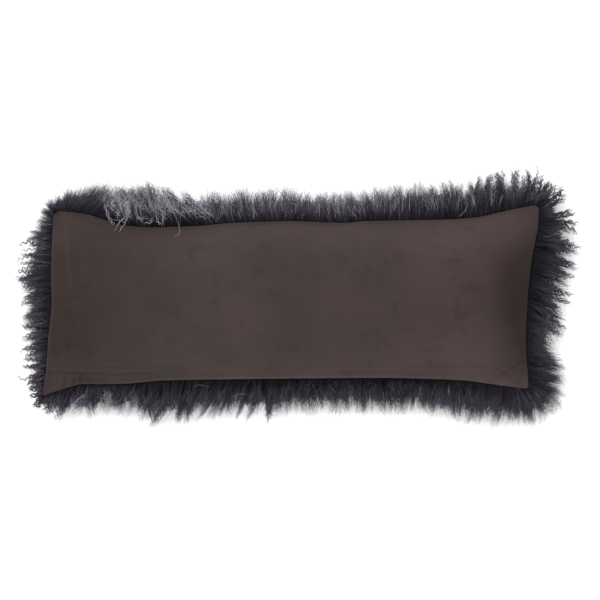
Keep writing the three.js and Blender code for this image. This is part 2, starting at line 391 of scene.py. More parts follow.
floor = new_mesh(
    "floor",
    [(-8, -8, -0.0002), (8, -8, -0.0002), (8, 8, -0.0002), (-8, 8, -0.0002)],
    [(0, 1, 2, 3)],
    smooth=False,
)
m = Nodes("floor_paper")
m.bsdf.inputs["Roughness"].default_value = 0.9
m.bsdf.inputs["Specular IOR Level"].default_value = 0.1
grain = m.noise(m.node("ShaderNodeTexCoord").outputs["Object"], 60.0, 2.0)
m.set(m.bsdf.inputs["Base Color"], m.mix(grain, (0.9, 0.9, 0.9, 1), (0.92, 0.92, 0.92, 1)))
floor.data.materials.append(m.mat)

# ---------------------------------------------------------------------------------------------------------------
# Materials
# ---------------------------------------------------------------------------------------------------------------


def suede_material():
    """The back is lighter and darker by the 'tone' that the cover's points carry, which holds the nap's own patches
    together with painted shade and painted highlights, and warmer by their 'pink'.
    """
    m = Nodes("suede")
    pos = m.node("ShaderNodeTexCoord").outputs["Object"]
    tone = m.node("ShaderNodeAttribute", attribute_name="tone", attribute_type="GEOMETRY").outputs["Fac"]
    pink = m.node("ShaderNodeAttribute", attribute_name="pink", attribute_type="GEOMETRY").outputs["Fac"]

    cloudy = m.noise(pos, 9.0, 3.0, 0.55)
    patchy = m.noise(pos, 30.0, 4.0, 0.62, 0.5)
    nap = m.noise(pos, 700.0, 2.0, 0.6)

    hue = m.math("ADD", pink, m.span(cloudy, 0.35, 0.65, -0.22, 0.22), clamp=True)
    base = m.mix(hue, (*srgb(52.5, 44.8, 43.2), 1), (*srgb(56.2, 45.6, 45.4), 1))
    # browner where it is darker
    base = m.mix(m.span(tone, 0.45, 0.95), (*srgb(54.2, 42.4, 39.8), 1), base)
    shade = m.math("MULTIPLY", tone, m.span(cloudy, 0.3, 0.7, 0.94, 1.06))
    # smudges where the nap is brushed over
    shade = m.math("MULTIPLY", shade, m.span(patchy, 0.54, 0.70, 1.0, 0.84))
    shade = m.math("MULTIPLY", shade, m.span(patchy, 0.3, 0.44, 1.06, 1.0))
    shade = m.math("MULTIPLY", shade, m.span(nap, 0.2, 0.8, 0.93, 1.07, smooth=False))
    base = m.node("ShaderNodeVectorMath", {0: base, "Scale": shade}, operation="SCALE").outputs[0]
    m.set(m.bsdf.inputs["Base Color"], base)
    m.bsdf.inputs["Roughness"].default_value = 0.92
    m.bsdf.inputs["Specular IOR Level"].default_value = 0.1
    m.bsdf.inputs["Sheen Weight"].default_value = 0.06
    m.bsdf.inputs["Sheen Roughness"].default_value = 0.5
    m.bsdf.inputs["Sheen Tint"].default_value = (0.9, 0.86, 0.84, 1)
    fine = m.noise(pos, 1400.0, 3.0, 0.7)
    lump = m.math("ADD", m.math("MULTIPLY", patchy, 0.8), m.math("MULTIPLY", fine, 0.25))
    bump = m.node("ShaderNodeBump", {"Strength": 0.35, "Distance": 0.0006, "Height": lump})
    m.set(m.bsdf.inputs["Normal"], bump.outputs[0])
    return m.mat


def fur_material():
    """Colour depends only on how far along its strand a point is and on the strand's own tint."""
    m = Nodes("fur")
    along = m.node("ShaderNodeAttribute", attribute_name="along", attribute_type="GEOMETRY").outputs["Fac"]
    tint = m.node("ShaderNodeAttribute", attribute_name="tint", attribute_type="GEOMETRY").outputs["Fac"]
    # each ramp is darkest at the root: the hair's own darker root together with painted shade in the hollow under the
    # seam's edge, where the light hardly reaches
    black = m.ramp(
        along,
        (
            (0.0, srgb(6, 5, 8)), (0.12, srgb(12, 11, 15)), (0.35, srgb(20, 18, 23)), (0.7, srgb(42, 39, 47)),
            (1.0, srgb(63, 60, 70)),
        ),
    )
    grey = m.ramp(
        along,
        (
            (0.0, srgb(19, 17, 21)), (0.1, srgb(38, 35, 42)), (0.3, srgb(50, 47, 55)), (0.7, srgb(67, 64, 73)),
            (1.0, srgb(89, 86, 96)),
        ),
    )
    pale = m.ramp(
        along,
        ((0.0, srgb(24, 23, 27)), (0.25, srgb(66, 64, 72)), (0.5, srgb(136, 134, 142)), (1.0, srgb(176, 174, 181))),
    )
    colour = m.mix(m.span(tint, 0.0, 0.25, smooth=False), black, grey)
    colour = m.mix(m.span(tint, 0.25, 1.0, smooth=False), colour, pale)
    m.set(m.bsdf.inputs["Base Color"], colour)
    m.bsdf.inputs["Roughness"].default_value = 0.6
    m.bsdf.inputs["Specular IOR Level"].default_value = 0.05
    return m.mat


SUEDE = suede_material()
FUR = fur_material()

# ---------------------------------------------------------------------------------------------------------------
# The seam as one closed line: where it is, which way is outwards and how far the pile reaches
# ---------------------------------------------------------------------------------------------------------------
N_RIM = 4000
_q = np.linspace(0, 4, 4 * 3000, endpoint=False)
_k = _q.astype(int)
_pts = np.zeros((len(_q), 2))
for k in range(4):
    _pts[_k == k] = seam(k, _q[_k == k] - k)
_step = np.hypot(*(np.roll(_pts, -1, 0) - _pts).T)
_arc = np.concatenate(([0], np.cumsum(_step)))
PERIMETER = _arc[-1]
_s = np.linspace(0, PERIMETER, N_RIM, endpoint=False)
_qs = np.interp(_s, _arc, np.append(_q, 4.0))
RIM_STEP = PERIMETER / N_RIM


def round_smooth(a, width):
    """Gaussian smoothing round the loop; width in millimetres."""
    n = len(a)
    f = np.fft.fftfreq(n, PERIMETER / n)
    g = np.exp(-2 * (np.pi * f * width) ** 2)
    return np.real(np.fft.ifft(np.fft.fft(a, axis=0) * (g[:, None] if a.ndim == 2 else g), axis=0))


_at = np.stack([np.interp(_s, _arc, np.append(_pts[:, c], _pts[0, c])) for c in (0, 1)], -1)
_tan = np.roll(_at, -1, 0) - np.roll(_at, 1, 0)
_tan /= np.linalg.norm(_tan, axis=1)[:, None]
_tan = round_smooth(_tan, 26.0)
_tan /= np.linalg.norm(_tan, axis=1)[:, None]
RIM = {"q": _qs, "at": _at, "tan": _tan, "out": np.stack([-_tan[:, 1], _tan[:, 0]], -1), "reach": reach_at(_qs)}
_turn = np.unwrap(np.arctan2(RIM["out"][:, 1], RIM["out"][:, 0]))
_spread = np.abs(np.roll(_turn, -1) - np.roll(_turn, 1))
RIM["spread"] = np.where(_spread > 3, 0, _spread) / (2 * RIM_STEP)


def rim_noise(rng, scale):
    """A smooth random value round the rim, about -1 to 1, with lumps of that length in millimetres."""
    a = round_smooth(rng.standard_normal(N_RIM), scale / 2)
    return a / (np.abs(a).max() * 0.8)


# ---------------------------------------------------------------------------------------------------------------
# The suede cover, closed round its filling
# ---------------------------------------------------------------------------------------------------------------
NU, NV = 300, 112  # points of the back, along and across
SHEET = (170, 64)  # points of the sheet that the simulation moves
MOST_MOVE = 6.0  # mm that the simulation may move a point

# how the back gathers where it is sewn: side and along as before, depth of the gathers and their spacing in mm
GATHERS = (
    (0, 0.00, 0.8), (0, 0.10, 0.7), (0, 0.20, 0.45), (0, 0.50, 0.3), (0, 0.80, 0.45), (0, 0.90, 0.8),
    (1, 0.10, 0.7), (1, 0.25, 1.5), (1, 0.50, 1.3), (1, 0.70, 0.6), (1, 0.92, 1.1),
    (2, 0.06, 1.0), (2, 0.15, 0.9), (2, 0.30, 0.45), (2, 0.70, 0.35), (2, 0.82, 0.7), (2, 0.90, 1.6), (2, 0.97, 1.3),
    (3, 0.06, 0.8), (3, 0.30, 0.4), (3, 0.80, 0.4),
)
GATHER_SPACING = 17.0

# lines pressed or pulled into the back: points in mm, then width, groove depth, height of the lip on the left of
# the line as it runs, and how much painted shade darkens the groove, with a painted highlight beside it
CREASES = (
    # the closing flap, along the bottom side
    (((-391, -126), (-297, -125), (-218, -123), (0, -125), (142, -124), (255, -124), (328, -121), (384, -116), (411, -115)), 2.2, 0.7, 0.9, 0.05),
    (((-464, -137), (-437, -135), (-410, -135), (-373, -138), (-328, -139), (-286, -138), (-250, -136)), 2.2, 1.3, 1.0, 0.10),
    (((60, -135), (120, -136), (190, -136), (285, -136)), 2.2, 0.6, 0.5, 0.06),
    # gathers of the bottom left corner
    (((-433, -167), (-426, -148)), 2.6, 1.8, 0.5, 0.10),
    (((-415, -162), (-409, -144)), 2.6, 2.0, 0.6, 0.12),
    (((-400, -159), (-397, -137)), 2.4, 2.2, 0.8, 0.14),
    (((-382, -158), (-387, -142)), 2.2, 1.6, 0.4, 0.12),
    (((-357, -157), (-363, -147)), 2.2, 1.0, 0.3, 0.06),
    # pulls out of the bottom right corner
    (((414, -116), (396, -121), (373, -129)), 2.6, 1.2, 0.7, 0.08),
    (((414, -136), (403, -146), (392, -163)), 2.8, 1.2, 1.0, 0.05),
    (((364, -139), (380, -131), (395, -124)), 2.6, 1.1, 0.7, 0.09),
    (((352, -128), (366, -133), (381, -146)), 3.0, 0.8, 0.6, 0.05),
    # pull out of the top right corner
    (((284, 143), (298, 131), (322, 112)), 6.0, 0.9, 0.5, 0.03),
    (((426, 158), (404, 140), (376, 122)), 6.0, 0.8, 0.4, 0.02),
    # a pull beside the top left corner
    (((-395, 146), (-376, 136), (-352, 128)), 5.0, 0.8, 0.5, 0.03),
    # marks in the nap
    (((140, -57), (141, -96)), 3.0, 0.15, 0.0, 0.06),
    (((216, -97), (236, -91), (256, -83)), 3.0, 0.2, 0.0, 0.07),
)

# where the back lies darker or lighter: patches of nap, with painted shade in the big dark patch at the right end,
# where the back falls away from the light: middle, half-size along x and y in mm, turn in degrees, tone, pink
NAP_AND_SHADE = (
    (413, -4, 38, 80, 0, -0.34, 0.0),
    (378, -10, 58, 92, 0, -0.08, 0.0),
    (432, 84, 8, 20, -8, -0.08, 0.0),
    (415, 20, 14, 70, -4, -0.10, 0.2),
    (372, 44, 22, 40, 18, -0.06, -0.2),
    (364, 130, 42, 24, 0, 0.03, 0.2),
    (330, -92, 42, 26, 0, 0.06, 0.3),
    (235, 96, 80, 26, 0, 0.02, 0.2),
    (360, -157, 38, 8, -10, 0.06, 0.6),
    (394, -122, 36, 20, 0, -0.08, 0.1),
    (408, 128, 34, 16, -20, 0.04, 0.0),
    (-446, 120, 26, 26, 0, 0.09, 0.0),
    (-432, -88, 26, 26, 0, -0.03, 0.2),
    (-313, -97, 16, 12, 20, -0.03, 0.2),
    (-178, -86, 14, 10, 0, -0.02, 0.0),
    (4, -84, 16, 10, 0, -0.02, 0.0),
    (-60, 86, 26, 12, -20, -0.02, 0.0),
    (24, 120, 12, 10, 0, -0.03, 0.0),
    (-420, -58, 30, 46, 0, -0.05, 0.5),
    (-436, 60, 7, 42, 2, -0.08, 0.4),
    (-424, 46, 3, 22, 3, -0.06, 0.3),
    (-405, 58, 5, 28, 5, -0.08, 0.3),
    (-397, 66, 2.5, 20, 4, -0.05, 0.2),
    (-412, 96, 3, 16, 0, -0.04, 0.1),
    (-383, 18, 6, 7, 0, -0.07, 0.2),
    (-448, -20, 8, 60, 0, -0.05, 0.4),
    (-160, 46, 42, 30, 0, 0.03, -0.6),
    (-310, 118, 24, 12, 0, -0.04, 0.1),
    (-292, 138, 14, 6, 0, -0.10, 0.0),
    (-330, 138, 22, 7, 0, -0.05, 0.0),
)
# darker and lighter along and across the back: the nap's own tone, with painted shade at the ends, where the back falls
# away from the light, and painted light towards the bottom side, which evens out the shade the lamp leaves there
NAP_AND_SHADE_ALONG = smooth_table(
    ((-455, -0.16), (-400, -0.14), (-340, -0.10), (-280, -0.06), (-200, -0.01), (-130, 0.02), (0, 0.0), (100, 0.0),
     (200, 0.01), (300, 0.04), (420, 0.03))
)
NAP_AND_SHADE_ACROSS = smooth_table(((-165, 0.10), (-140, 0.08), (-92, 0.04), (0, 0.0), (61, 0.01), (110, 0.05), (165, 0.05)))
PINK_ALONG = smooth_table(
    ((-455, 0.15), (-400, 0.1), (-340, 0.05), (-200, 0.1), (0, 0.3), (150, 0.5), (250, 0.85), (340, 1.0), (420, 0.8))
)


def crowd(t):
    return t - 0.07 * np.sin(2 * np.pi * t)


def back_grid(nu, nv):
    U, V = np.meshgrid(crowd(np.linspace(0, 1, nu)), crowd(np.linspace(0, 1, nv)), indexing="ij")
    return U, V, np.dstack([plan(U, V), back_height(U, V)])


def relaxed(nu, nv):
    """How far, in mm, the back moves as its filling presses on it, its cloth being a little long near the seam."""
    U, V, start = back_grid(nu, nv)
    sheet = new_mesh("sheet", shift(start.reshape(-1, 3)), grid_faces(nu, nv))
    sheet.shape_key_add(name="Basis")
    longer = sheet.shape_key_add(name="longer")
    from_seam = np.minimum(np.minimum(U, 1 - U) * LENGTH, np.minimum(V, 1 - V) * 330)
    loose = np.sqrt(0.16) * np.clip(1 - from_seam / 70.0, 0, 1)
    # a fine zigzag lengthens the cloth without giving it a shape of its own
    rest = start * 1.02
    rest[..., 2] += 0.5 * (-1.0) ** np.arange(nu)[:, None] * np.abs(np.gradient(start[..., 0], axis=0)) * loose
    rest[..., 2] += 0.5 * (-1.0) ** np.arange(nv)[None] * np.abs(np.gradient(start[..., 1], axis=1)) * loose
    longer.data.foreach_set("co", shift(rest.reshape(-1, 3)).astype(np.float32).ravel())
    longer.value = 0.0
    sewn = np.zeros((nu, nv), bool)
    sewn[[0, -1], :] = sewn[:, [0, -1]] = True
    sheet.vertex_groups.new(name="sewn").add([int(k) for k in np.flatnonzero(sewn)], 1.0, "REPLACE")
    cloth = sheet.modifiers.new("cloth", "CLOTH")
    c = cloth.settings
    c.quality, c.mass, c.bending_model = 4, 0.3, "LINEAR"
    c.tension_stiffness = c.compression_stiffness = 40
    c.shear_stiffness, c.bending_stiffness = 5, 0.05
    c.tension_damping = c.compression_damping = c.shear_damping = 8
    c.bending_damping, c.air_damping = 0.5, 2.0
    c.vertex_group_mass = "sewn"
    c.rest_shape_key = longer
    c.use_pressure, c.uniform_pressure_force = True, 1.0
    c.effector_weights.gravity = 0
    cloth.collision_settings.use_collision = cloth.collision_settings.use_self_collision = False
    cloth.point_cache.frame_start, cloth.point_cache.frame_end = 1, 30
    for f in range(1, 31):
        scene.frame_set(f)
    moved = sheet.evaluated_get(bpy.context.evaluated_depsgraph_get())
    me = moved.to_mesh()
    now = np.empty(nu * nv * 3, np.float32)
    me.vertices.foreach_get("co", now)
    moved.to_mesh_clear()
    old = sheet.data
    bpy.data.objects.remove(sheet, do_unlink=True)
    bpy.data.meshes.remove(old)
    scene.frame_set(1)
    move = now.reshape(nu, nv, 3) * 1000.0 - shift(start.reshape(-1, 3)).reshape(nu, nv, 3) * 1000.0
    # averaged with its neighbours a few times, which takes the zigzag and the fine ripples out of it
    for axis in (0, 1) * 12:
        inner = [slice(None)] * 3
        inner[axis] = slice(1, -1)
        move[tuple(inner)] = (move + 0.5 * np.roll(move, 1, axis) + 0.5 * np.roll(move, -1, axis))[tuple(inner)] * 0.5
    far = np.linalg.norm(move, axis=-1, keepdims=True)
    return move * np.minimum(1, MOST_MOVE / np.maximum(far, 1e-9))


def resample(a, n):
    """Cubic interpolation of the first axis to n evenly spaced points."""
    m = len(a)
    t = np.linspace(0, m - 1, n)
    i = np.clip(t.astype(int), 0, m - 2)
    f = (t - i).reshape(-1, *[1] * (a.ndim - 1))
    p, q, r, s = (a[np.clip(i + k, 0, m - 1)] for k in (-1, 0, 1, 2))
    return q + 0.5 * f * (r - p + f * (2 * p - 5 * q + 4 * r - s + f * (3 * (q - r) + s - p)))


def near_seam(points):
    """Distance in plan from the seam, and the rim index nearest by."""
    rim = RIM["at"][::2].astype(np.float32)
    flat = points.reshape(-1, 2).astype(np.float32)
    far, which = np.empty(len(flat)), np.empty(len(flat), int)
    for first in range(0, len(flat), 2000):
        part = slice(first, first + 2000)
        d = flat[part, None] - rim[None]
        d = (d * d).sum(-1)
        which[part] = d.argmin(1)
        far[part] = np.sqrt(d.min(1))
    return far.reshape(points.shape[:-1]), (2 * which).reshape(points.shape[:-1])


def along_line(points, line):
    """Signed distance from a line of points, positive on its left, and 0 to 1 along it."""
    line = np.asarray(line, float)
    d = np.diff(line, axis=0)
    size = np.hypot(d[:, 0], d[:, 1])
    gone = np.concatenate(([0], np.cumsum(size)))
    best, signed, where = np.full(points.shape[:-1], 1e9), np.zeros(points.shape[:-1]), np.zeros(points.shape[:-1])
    for k in range(len(d)):
        rel = points - line[k]
        t = np.clip((rel @ d[k]) / size[k] ** 2, 0, 1)
        off = rel - t[..., None] * d[k]
        dist = np.hypot(off[..., 0], off[..., 1])
        near = dist < best
        side = np.sign(d[k][0] * rel[..., 1] - d[k][1] * rel[..., 0])
        best = np.where(near, dist, best)
        signed = np.where(near, dist * side, signed)
        where = np.where(near, (gone[k] + t * size[k]) / gone[-1], where)
    return signed, where


U, V, top = back_grid(NU, NV)
top = top + resample(resample(relaxed(*SHEET), NU).transpose(1, 0, 2), NV).transpose(1, 0, 2)
flat = plan(U, V)
FROM_SEAM, NEAREST = near_seam(flat)

rng = np.random.default_rng(21)
depth = smooth_table([(side + along, value) for side, along, value in GATHERS], period=4)(RIM["q"])
pleats = rim_noise(rng, GATHER_SPACING)
pleats = np.exp(-((pleats / 0.22) ** 2)) - 0.3
slant = (rim_noise(rng, 120.0) * 0.5 * FROM_SEAM.max())[NEAREST] * FROM_SEAM / FROM_SEAM.max()
there = (NEAREST + (slant / RIM_STEP).astype(int)) % N_RIM
inward = (FROM_SEAM / 8.0) * np.exp(1 - FROM_SEAM / 8.0)
rise = -depth[there] * pleats[there] * inward * 1.3
# the nap's own tone with the painted shade and painted light of the two tables
tone = NAP_AND_SHADE_ALONG(flat[..., 0]) + NAP_AND_SHADE_ACROSS(flat[..., 1])
# painted shade in the grooves of the gathers next to the seam, a little lighter on their ridges
tone -= 0.05 * depth[there] * pleats[there] * np.exp(-((FROM_SEAM - 6) ** 2) / 40.0)
pink = PINK_ALONG(flat[..., 0])
for line, width, groove, lip, dark in CREASES:
    off, where = along_line(flat, line)
    fade = smoothstep(-0.06, 0.08, where) * smoothstep(1, 0.86, where)
    furrow = np.exp(-((off / width) ** 2))
    cap = np.exp(-np.maximum(off, 0) / (width * 4)) / (1 + np.exp(-np.clip(off / (width * 0.4), -40, 40)))
    rise += fade * (lip * cap - groove * furrow)
    # painted shade in the groove and a painted highlight on the lip beside it
    tone += fade * (-dark * furrow + 0.6 * dark * np.exp(-(((off - 1.7 * width) / width) ** 2)))
# the nap's patches and the painted shade of the right end
for x, y, long, wide, turn, dark, warm in NAP_AND_SHADE:
    a = math.radians(turn)
    dx, dy = flat[..., 0] - x, flat[..., 1] - y
    spot = np.exp(
        -0.5 * (((dx * math.cos(a) + dy * math.sin(a)) / long) ** 2 + ((dy * math.cos(a) - dx * math.sin(a)) / wide) ** 2)
    )
    tone += dark * spot
    pink += warm * spot
# the turned edge: painted shade along the top, where the back turns down away from the light; a painted sheen, paler
# and greyer, along the left; along the bottom a painted highlight where the seam's fold catches the light, turning
# darker towards its left end
side_of = RIM["q"][NEAREST]
on_top = np.clip(1.2 - np.abs(((side_of + 2) % 4 - 2) - 0.5) * 1.6, 0, 1)
edge = np.exp(-((FROM_SEAM / 3.2) ** 2))
painted_sheen_left = np.clip(1.4 - np.abs(side_of - 3.0) * 1.1, 0, 1)
on_bottom = np.clip(1.2 - np.abs(side_of - 2.5) * 1.6, 0, 1)
tone += edge * (0.20 * painted_sheen_left - 0.12 * on_top + 0.09 * on_bottom * (smoothstep(-330, 40, flat[..., 0]) - 0.4))
pink -= 0.8 * edge * painted_sheen_left
top[..., 2] += rise * smoothstep(0, 5, FROM_SEAM)
# the sewn edge is drawn in between gathers
pull = (0.5 * depth * pleats)[NEAREST] * np.exp(-FROM_SEAM / 6.0)
top[..., :2] -= RIM["out"][NEAREST] * pull[..., None]

# the belly is coarser: every fourth point of the same grid, joined to the seam by one band of triangles
inner_u, inner_v = np.arange(2, NU - 2, 4), np.arange(2, NV - 2, 4)
GU, GV = np.meshgrid(inner_u, inner_v, indexing="ij")
below = np.dstack([plan(U[GU, GV], V[GU, GV]), belly_height(U[GU, GV], V[GU, GV])])


def loop_of(grid, u, v):
    """Indices round a grid's edge with how far round they are, 0 to 4."""
    n, m = grid.shape
    parts = (
        (grid[:-1, -1], u[:-1]),
        (grid[-1, :0:-1], 2 - v[:0:-1]),
        (grid[:0:-1, 0], 3 - u[:0:-1]),
        (grid[0, :-1], 3 + v[:-1]),
    )
    return np.concatenate([p[0] for p in parts]), np.concatenate([p[1] for p in parts])


def stretch(v):
    return (v - v[0]) / (v[-1] - v[0])


index = np.arange(NU * NV).reshape(NU, NV)
belly_index = NU * NV + np.arange(below[..., 0].size).reshape(below.shape[:2])
outer_loop, outer_at = loop_of(index, np.linspace(0, 1, NU), np.linspace(0, 1, NV))
inner_loop, inner_at = loop_of(belly_index, stretch(inner_u), stretch(inner_v))
band = []
a = b = 0
while a < len(outer_loop) or b < len(inner_loop):
    o, o2 = outer_loop[a % len(outer_loop)], outer_loop[(a + 1) % len(outer_loop)]
    i, i2 = inner_loop[b % len(inner_loop)], inner_loop[(b + 1) % len(inner_loop)]
    next_o = outer_at[a + 1] if a + 1 < len(outer_at) else 4.0
    next_i = inner_at[b + 1] if b + 1 < len(inner_at) else 4.0
    if b >= len(inner_loop) or (a < len(outer_loop) and next_o <= next_i):
        band.append((o, o2, i, i))
        a += 1
    else:
        band.append((o, i2, i, i))
        b += 1
n, m = belly_index.shape
faces = np.concatenate([grid_faces(NU, NV), grid_faces(n, m, NU * NV, flipped=True), np.array(band)])
verts = np.concatenate([top.reshape(-1, 3), below.reshape(-1, 3)])
cover = new_mesh("suede_cover", shift(verts), faces)
extra = np.zeros(below[..., 0].size)
for label, values in (("tone", np.exp(2.2 * tone)), ("pink", np.clip(pink, 0, 1))):
    at = cover.data.attributes.new(label, "FLOAT", "POINT")
    at.data.foreach_set("value", np.concatenate([values.ravel(), extra + values.mean()]).astype(np.float32))
cover.data.materials.append(SUEDE)
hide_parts("suede_cushion")
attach(cover, "root")

# ---------------------------------------------------------------------------------------------------------------
# The pile
# ---------------------------------------------------------------------------------------------------------------
# how the pile lies round the rim, as the photo shows it. along runs clockwise on each side.
#   size    width of a pointed lock where it roots, mm
#   lean    degrees that the hair leans clockwise from straight outwards
#   tangle  degrees that locks stray from that
#   wave    half the width of its crimp near the tip, mm
#   tight   how far a lock closes up into one twisted point, 0 loose fuzz to 1
#   pale    share of pale locks among the dark
#   lift    how far the uppermost hair rises over the seam, mm
#   grey    tint of the dark hairs, 0 black to 1 pale
#   full    how far the dense part stands out, against the usual
#   far     how far the longest locks stand out, against the usual
#   pitch   length of a crimp, against the usual 10 to 14 mm
HABIT = (
    # side, along, size, lean, tangle, wave, tight, pale, lift, grey, full, far, pitch
    (0, 0.00, 6, 16, 4, 1.6, 0.25, 0.01, 3, 0.08, 0.90, 0.98, 0.9),
    (0, 0.06, 7, 26, 5, 2.2, 0.40, 0.03, 4, 0.08, 1.14, 1.06, 0.9),
    (0, 0.10, 8, 24, 8, 2.6, 0.55, 0.10, 8, 0.08, 1.08, 1.07, 0.9),
    (0, 0.13, 8, -20, 14, 2.6, 0.65, 0.44, 15, 0.06, 0.86, 1.00, 1.0),
    (0, 0.16, 8, -28, 14, 2.6, 0.65, 0.44, 15, 0.06, 1.06, 1.03, 1.0),
    (0, 0.19, 8, -14, 10, 2.0, 0.50, 0.22, 10, 0.13, 1.20, 1.06, 1.0),
    (0, 0.22, 9, -22, 14, 2.6, 0.75, 0.32, 15, 0.04, 1.08, 1.16, 1.0),
    (0, 0.26, 9, -32, 16, 2.6, 0.70, 0.26, 15, 0.03, 1.10, 1.16, 1.0),
    (0, 0.31, 9, -26, 12, 2.2, 0.60, 0.26, 10, 0.07, 1.10, 1.16, 1.0),
    (0, 0.36, 8, -8, 6, 1.4, 0.40, 0.18, 6, 0.13, 1.08, 1.08, 1.0),
    (0, 0.50, 8, 4, 4, 1.2, 0.32, 0.17, 5, 0.14, 0.97, 1.00, 1.0),
    (0, 0.60, 8, -4, 4, 1.2, 0.32, 0.20, 5, 0.12, 1.00, 1.01, 1.0),
    (0, 0.72, 8, 4, 5, 1.4, 0.40, 0.14, 5, 0.08, 1.06, 1.03, 1.0),
    (0, 0.80, 10, -4, 6, 2.2, 0.60, 0.10, 4, 0.08, 1.10, 1.04, 1.0),
    (0, 0.88, 12, 6, 6, 2.8, 0.88, 0.07, 3, 0.04, 1.22, 1.15, 1.0),
    (0, 0.96, 13, 14, 5, 3.0, 0.93, 0.05, 3, 0.06, 0.98, 1.18, 1.1),
    (1, 0.03, 13, -12, 5, 2.6, 0.94, 0.015, 2, 0.03, 0.88, 1.28, 1.2),
    (1, 0.15, 14, 0, 3, 2.8, 0.95, 0.02, 3, 0.02, 1.16, 1.15, 1.2),
    (1, 0.30, 14, -4, 3, 2.6, 0.95, 0.01, 3, 0.00, 1.30, 1.08, 1.2),
    (1, 0.42, 14, 6, 3, 2.5, 0.94, 0.01, 3, 0.00, 1.32, 1.04, 1.2),
    (1, 0.52, 13, 24, 3, 2.2, 0.88, 0.01, 2, 0.01, 1.26, 1.00, 1.2),
    (1, 0.61, 11, 30, 5, 1.5, 0.50, 0.02, 2, 0.03, 0.88, 0.77, 1.1),
    (1, 0.70, 9, 32, 5, 1.2, 0.28, 0.03, 2, 0.04, 0.88, 0.75, 1.0),
    (1, 0.77, 8, 22, 5, 1.4, 0.22, 0.02, 2, 0.04, 1.10, 0.88, 0.9),
    (1, 0.83, 6, 12, 4, 2.6, 0.46, 0.01, 1, 0.03, 1.28, 0.96, 0.8),
    (1, 0.90, 6, 4, 4, 3.2, 0.50, 0.01, 1, 0.02, 1.22, 1.06, 0.75),
    (2, 0.03, 7, -6, 5, 3.0, 0.52, 0.02, 0, 0.04, 0.98, 0.99, 0.8),
    (2, 0.12, 8, 4, 5, 1.6, 0.40, 0.04, -2, 0.04, 1.10, 0.97, 1.0),
    (2, 0.28, 7, 0, 4, 1.8, 0.36, 0.15, -10, 0.00, 0.88, 0.95, 0.9),
    (2, 0.45, 7, -4, 4, 1.8, 0.36, 0.16, -10, 0.00, 0.88, 0.95, 0.9),
    (2, 0.54, 12, 4, 6, 1.9, 0.78, 0.04, -2, 0.01, 1.15, 1.03, 1.0),
    (2, 0.66, 10, 24, 7, 2.0, 0.60, 0.07, -2, 0.03, 1.12, 1.00, 1.0),
    (2, 0.74, 12, 24, 7, 2.3, 0.76, 0.05, -2, 0.03, 1.07, 0.99, 1.0),
    (2, 0.80, 9, 10, 10, 2.6, 0.60, 0.13, -1, 0.03, 0.78, 0.92, 1.0),
    (2, 0.84, 9, 8, 13, 2.8, 0.55, 0.36, -1, 0.06, 0.30, 0.80, 0.9),
    (2, 0.88, 9, 12, 13, 2.8, 0.55, 0.50, -1, 0.06, 0.20, 0.80, 0.9),
    (2, 0.92, 11, 26, 10, 2.5, 0.80, 0.14, 0, 0.03, 0.78, 1.00, 1.0),
    (2, 0.98, 11, 6, 10, 2.8, 0.92, 0.04, 0, 0.04, 0.86, 0.94, 1.0),
    (3, 0.04, 10, 6, 10, 3.0, 0.92, 0.02, 1, 0.06, 0.60, 0.95, 1.0),
    (3, 0.20, 9, -12, 8, 2.8, 0.84, 0.01, 2, 0.12, 0.95, 1.02, 0.9),
    (3, 0.45, 9, -10, 8, 2.8, 0.82, 0.01, 2, 0.08, 1.20, 1.04, 0.9),
    (3, 0.60, 9, -6, 8, 3.2, 0.90, 0.01, 2, 0.08, 1.18, 1.00, 0.85),
    (3, 0.80, 8, 0, 8, 3.4, 0.90, 0.01, 2, 0.11, 1.02, 1.10, 0.85),
    (3, 0.93, 6, 8, 4, 1.6, 0.26, 0.02, 2, 0.10, 0.88, 0.98, 0.9),
)
COLUMNS = ("size", "lean", "tangle", "wave", "tight", "pale", "lift", "grey", "full", "far", "pitch")
for c, name in enumerate(COLUMNS):
    RIM[name] = smooth_table([(row[0] + row[1], row[c + 2]) for row in HABIT], period=4)(RIM["q"])

# along the bottom it thins out sooner, and goes from a darker root to a lighter tip, the dark reaching further out:
# painted shade under the seam's edge
RIM["thin"] = np.clip(1.5 - np.abs(RIM["q"] - 2.38) * 4.5, 0, 1)

# the pile's outline in section: share of the reach at each share of the seam's height
PILE_SECTION = smooth_table(((0.0, 0.80), (0.25, 0.94), (0.55, 1.0), (0.83, 0.98), (1.0, 0.92), (1.25, 0.7)))
ROOT_INSET = 66.0
MOST = 14.0  # mm past the reach that any lock stands out


def inside(i, inset):
    """The belly's surface at that inset from rim index i: plan point and height."""
    q = RIM["q"][i]
    k = q.astype(int) % 4
    along = q - np.floor(q)
    du, dv = np.clip(inset / LENGTH, 0, 0.5), np.clip(inset / 320.0, 0, 0.5)
    u = np.select([k == 0, k == 1, k == 2, k == 3], [along, 1 - du, 1 - along, du])
    v = np.select([k == 0, k == 1, k == 2, k == 3], [1 - dv, 1 - along, dv, along])
    # rooted on the belly, never right on a neighbouring side's seam
    u, v = np.clip(u, 0.004, 0.996), np.clip(v, 0.008, 0.992)
    return np.concatenate([plan(u, v), belly_height(u, v)[..., None]], -1)


def unit(a):
    return a / np.maximum(np.linalg.norm(a, axis=-1, keepdims=True), 1e-9)


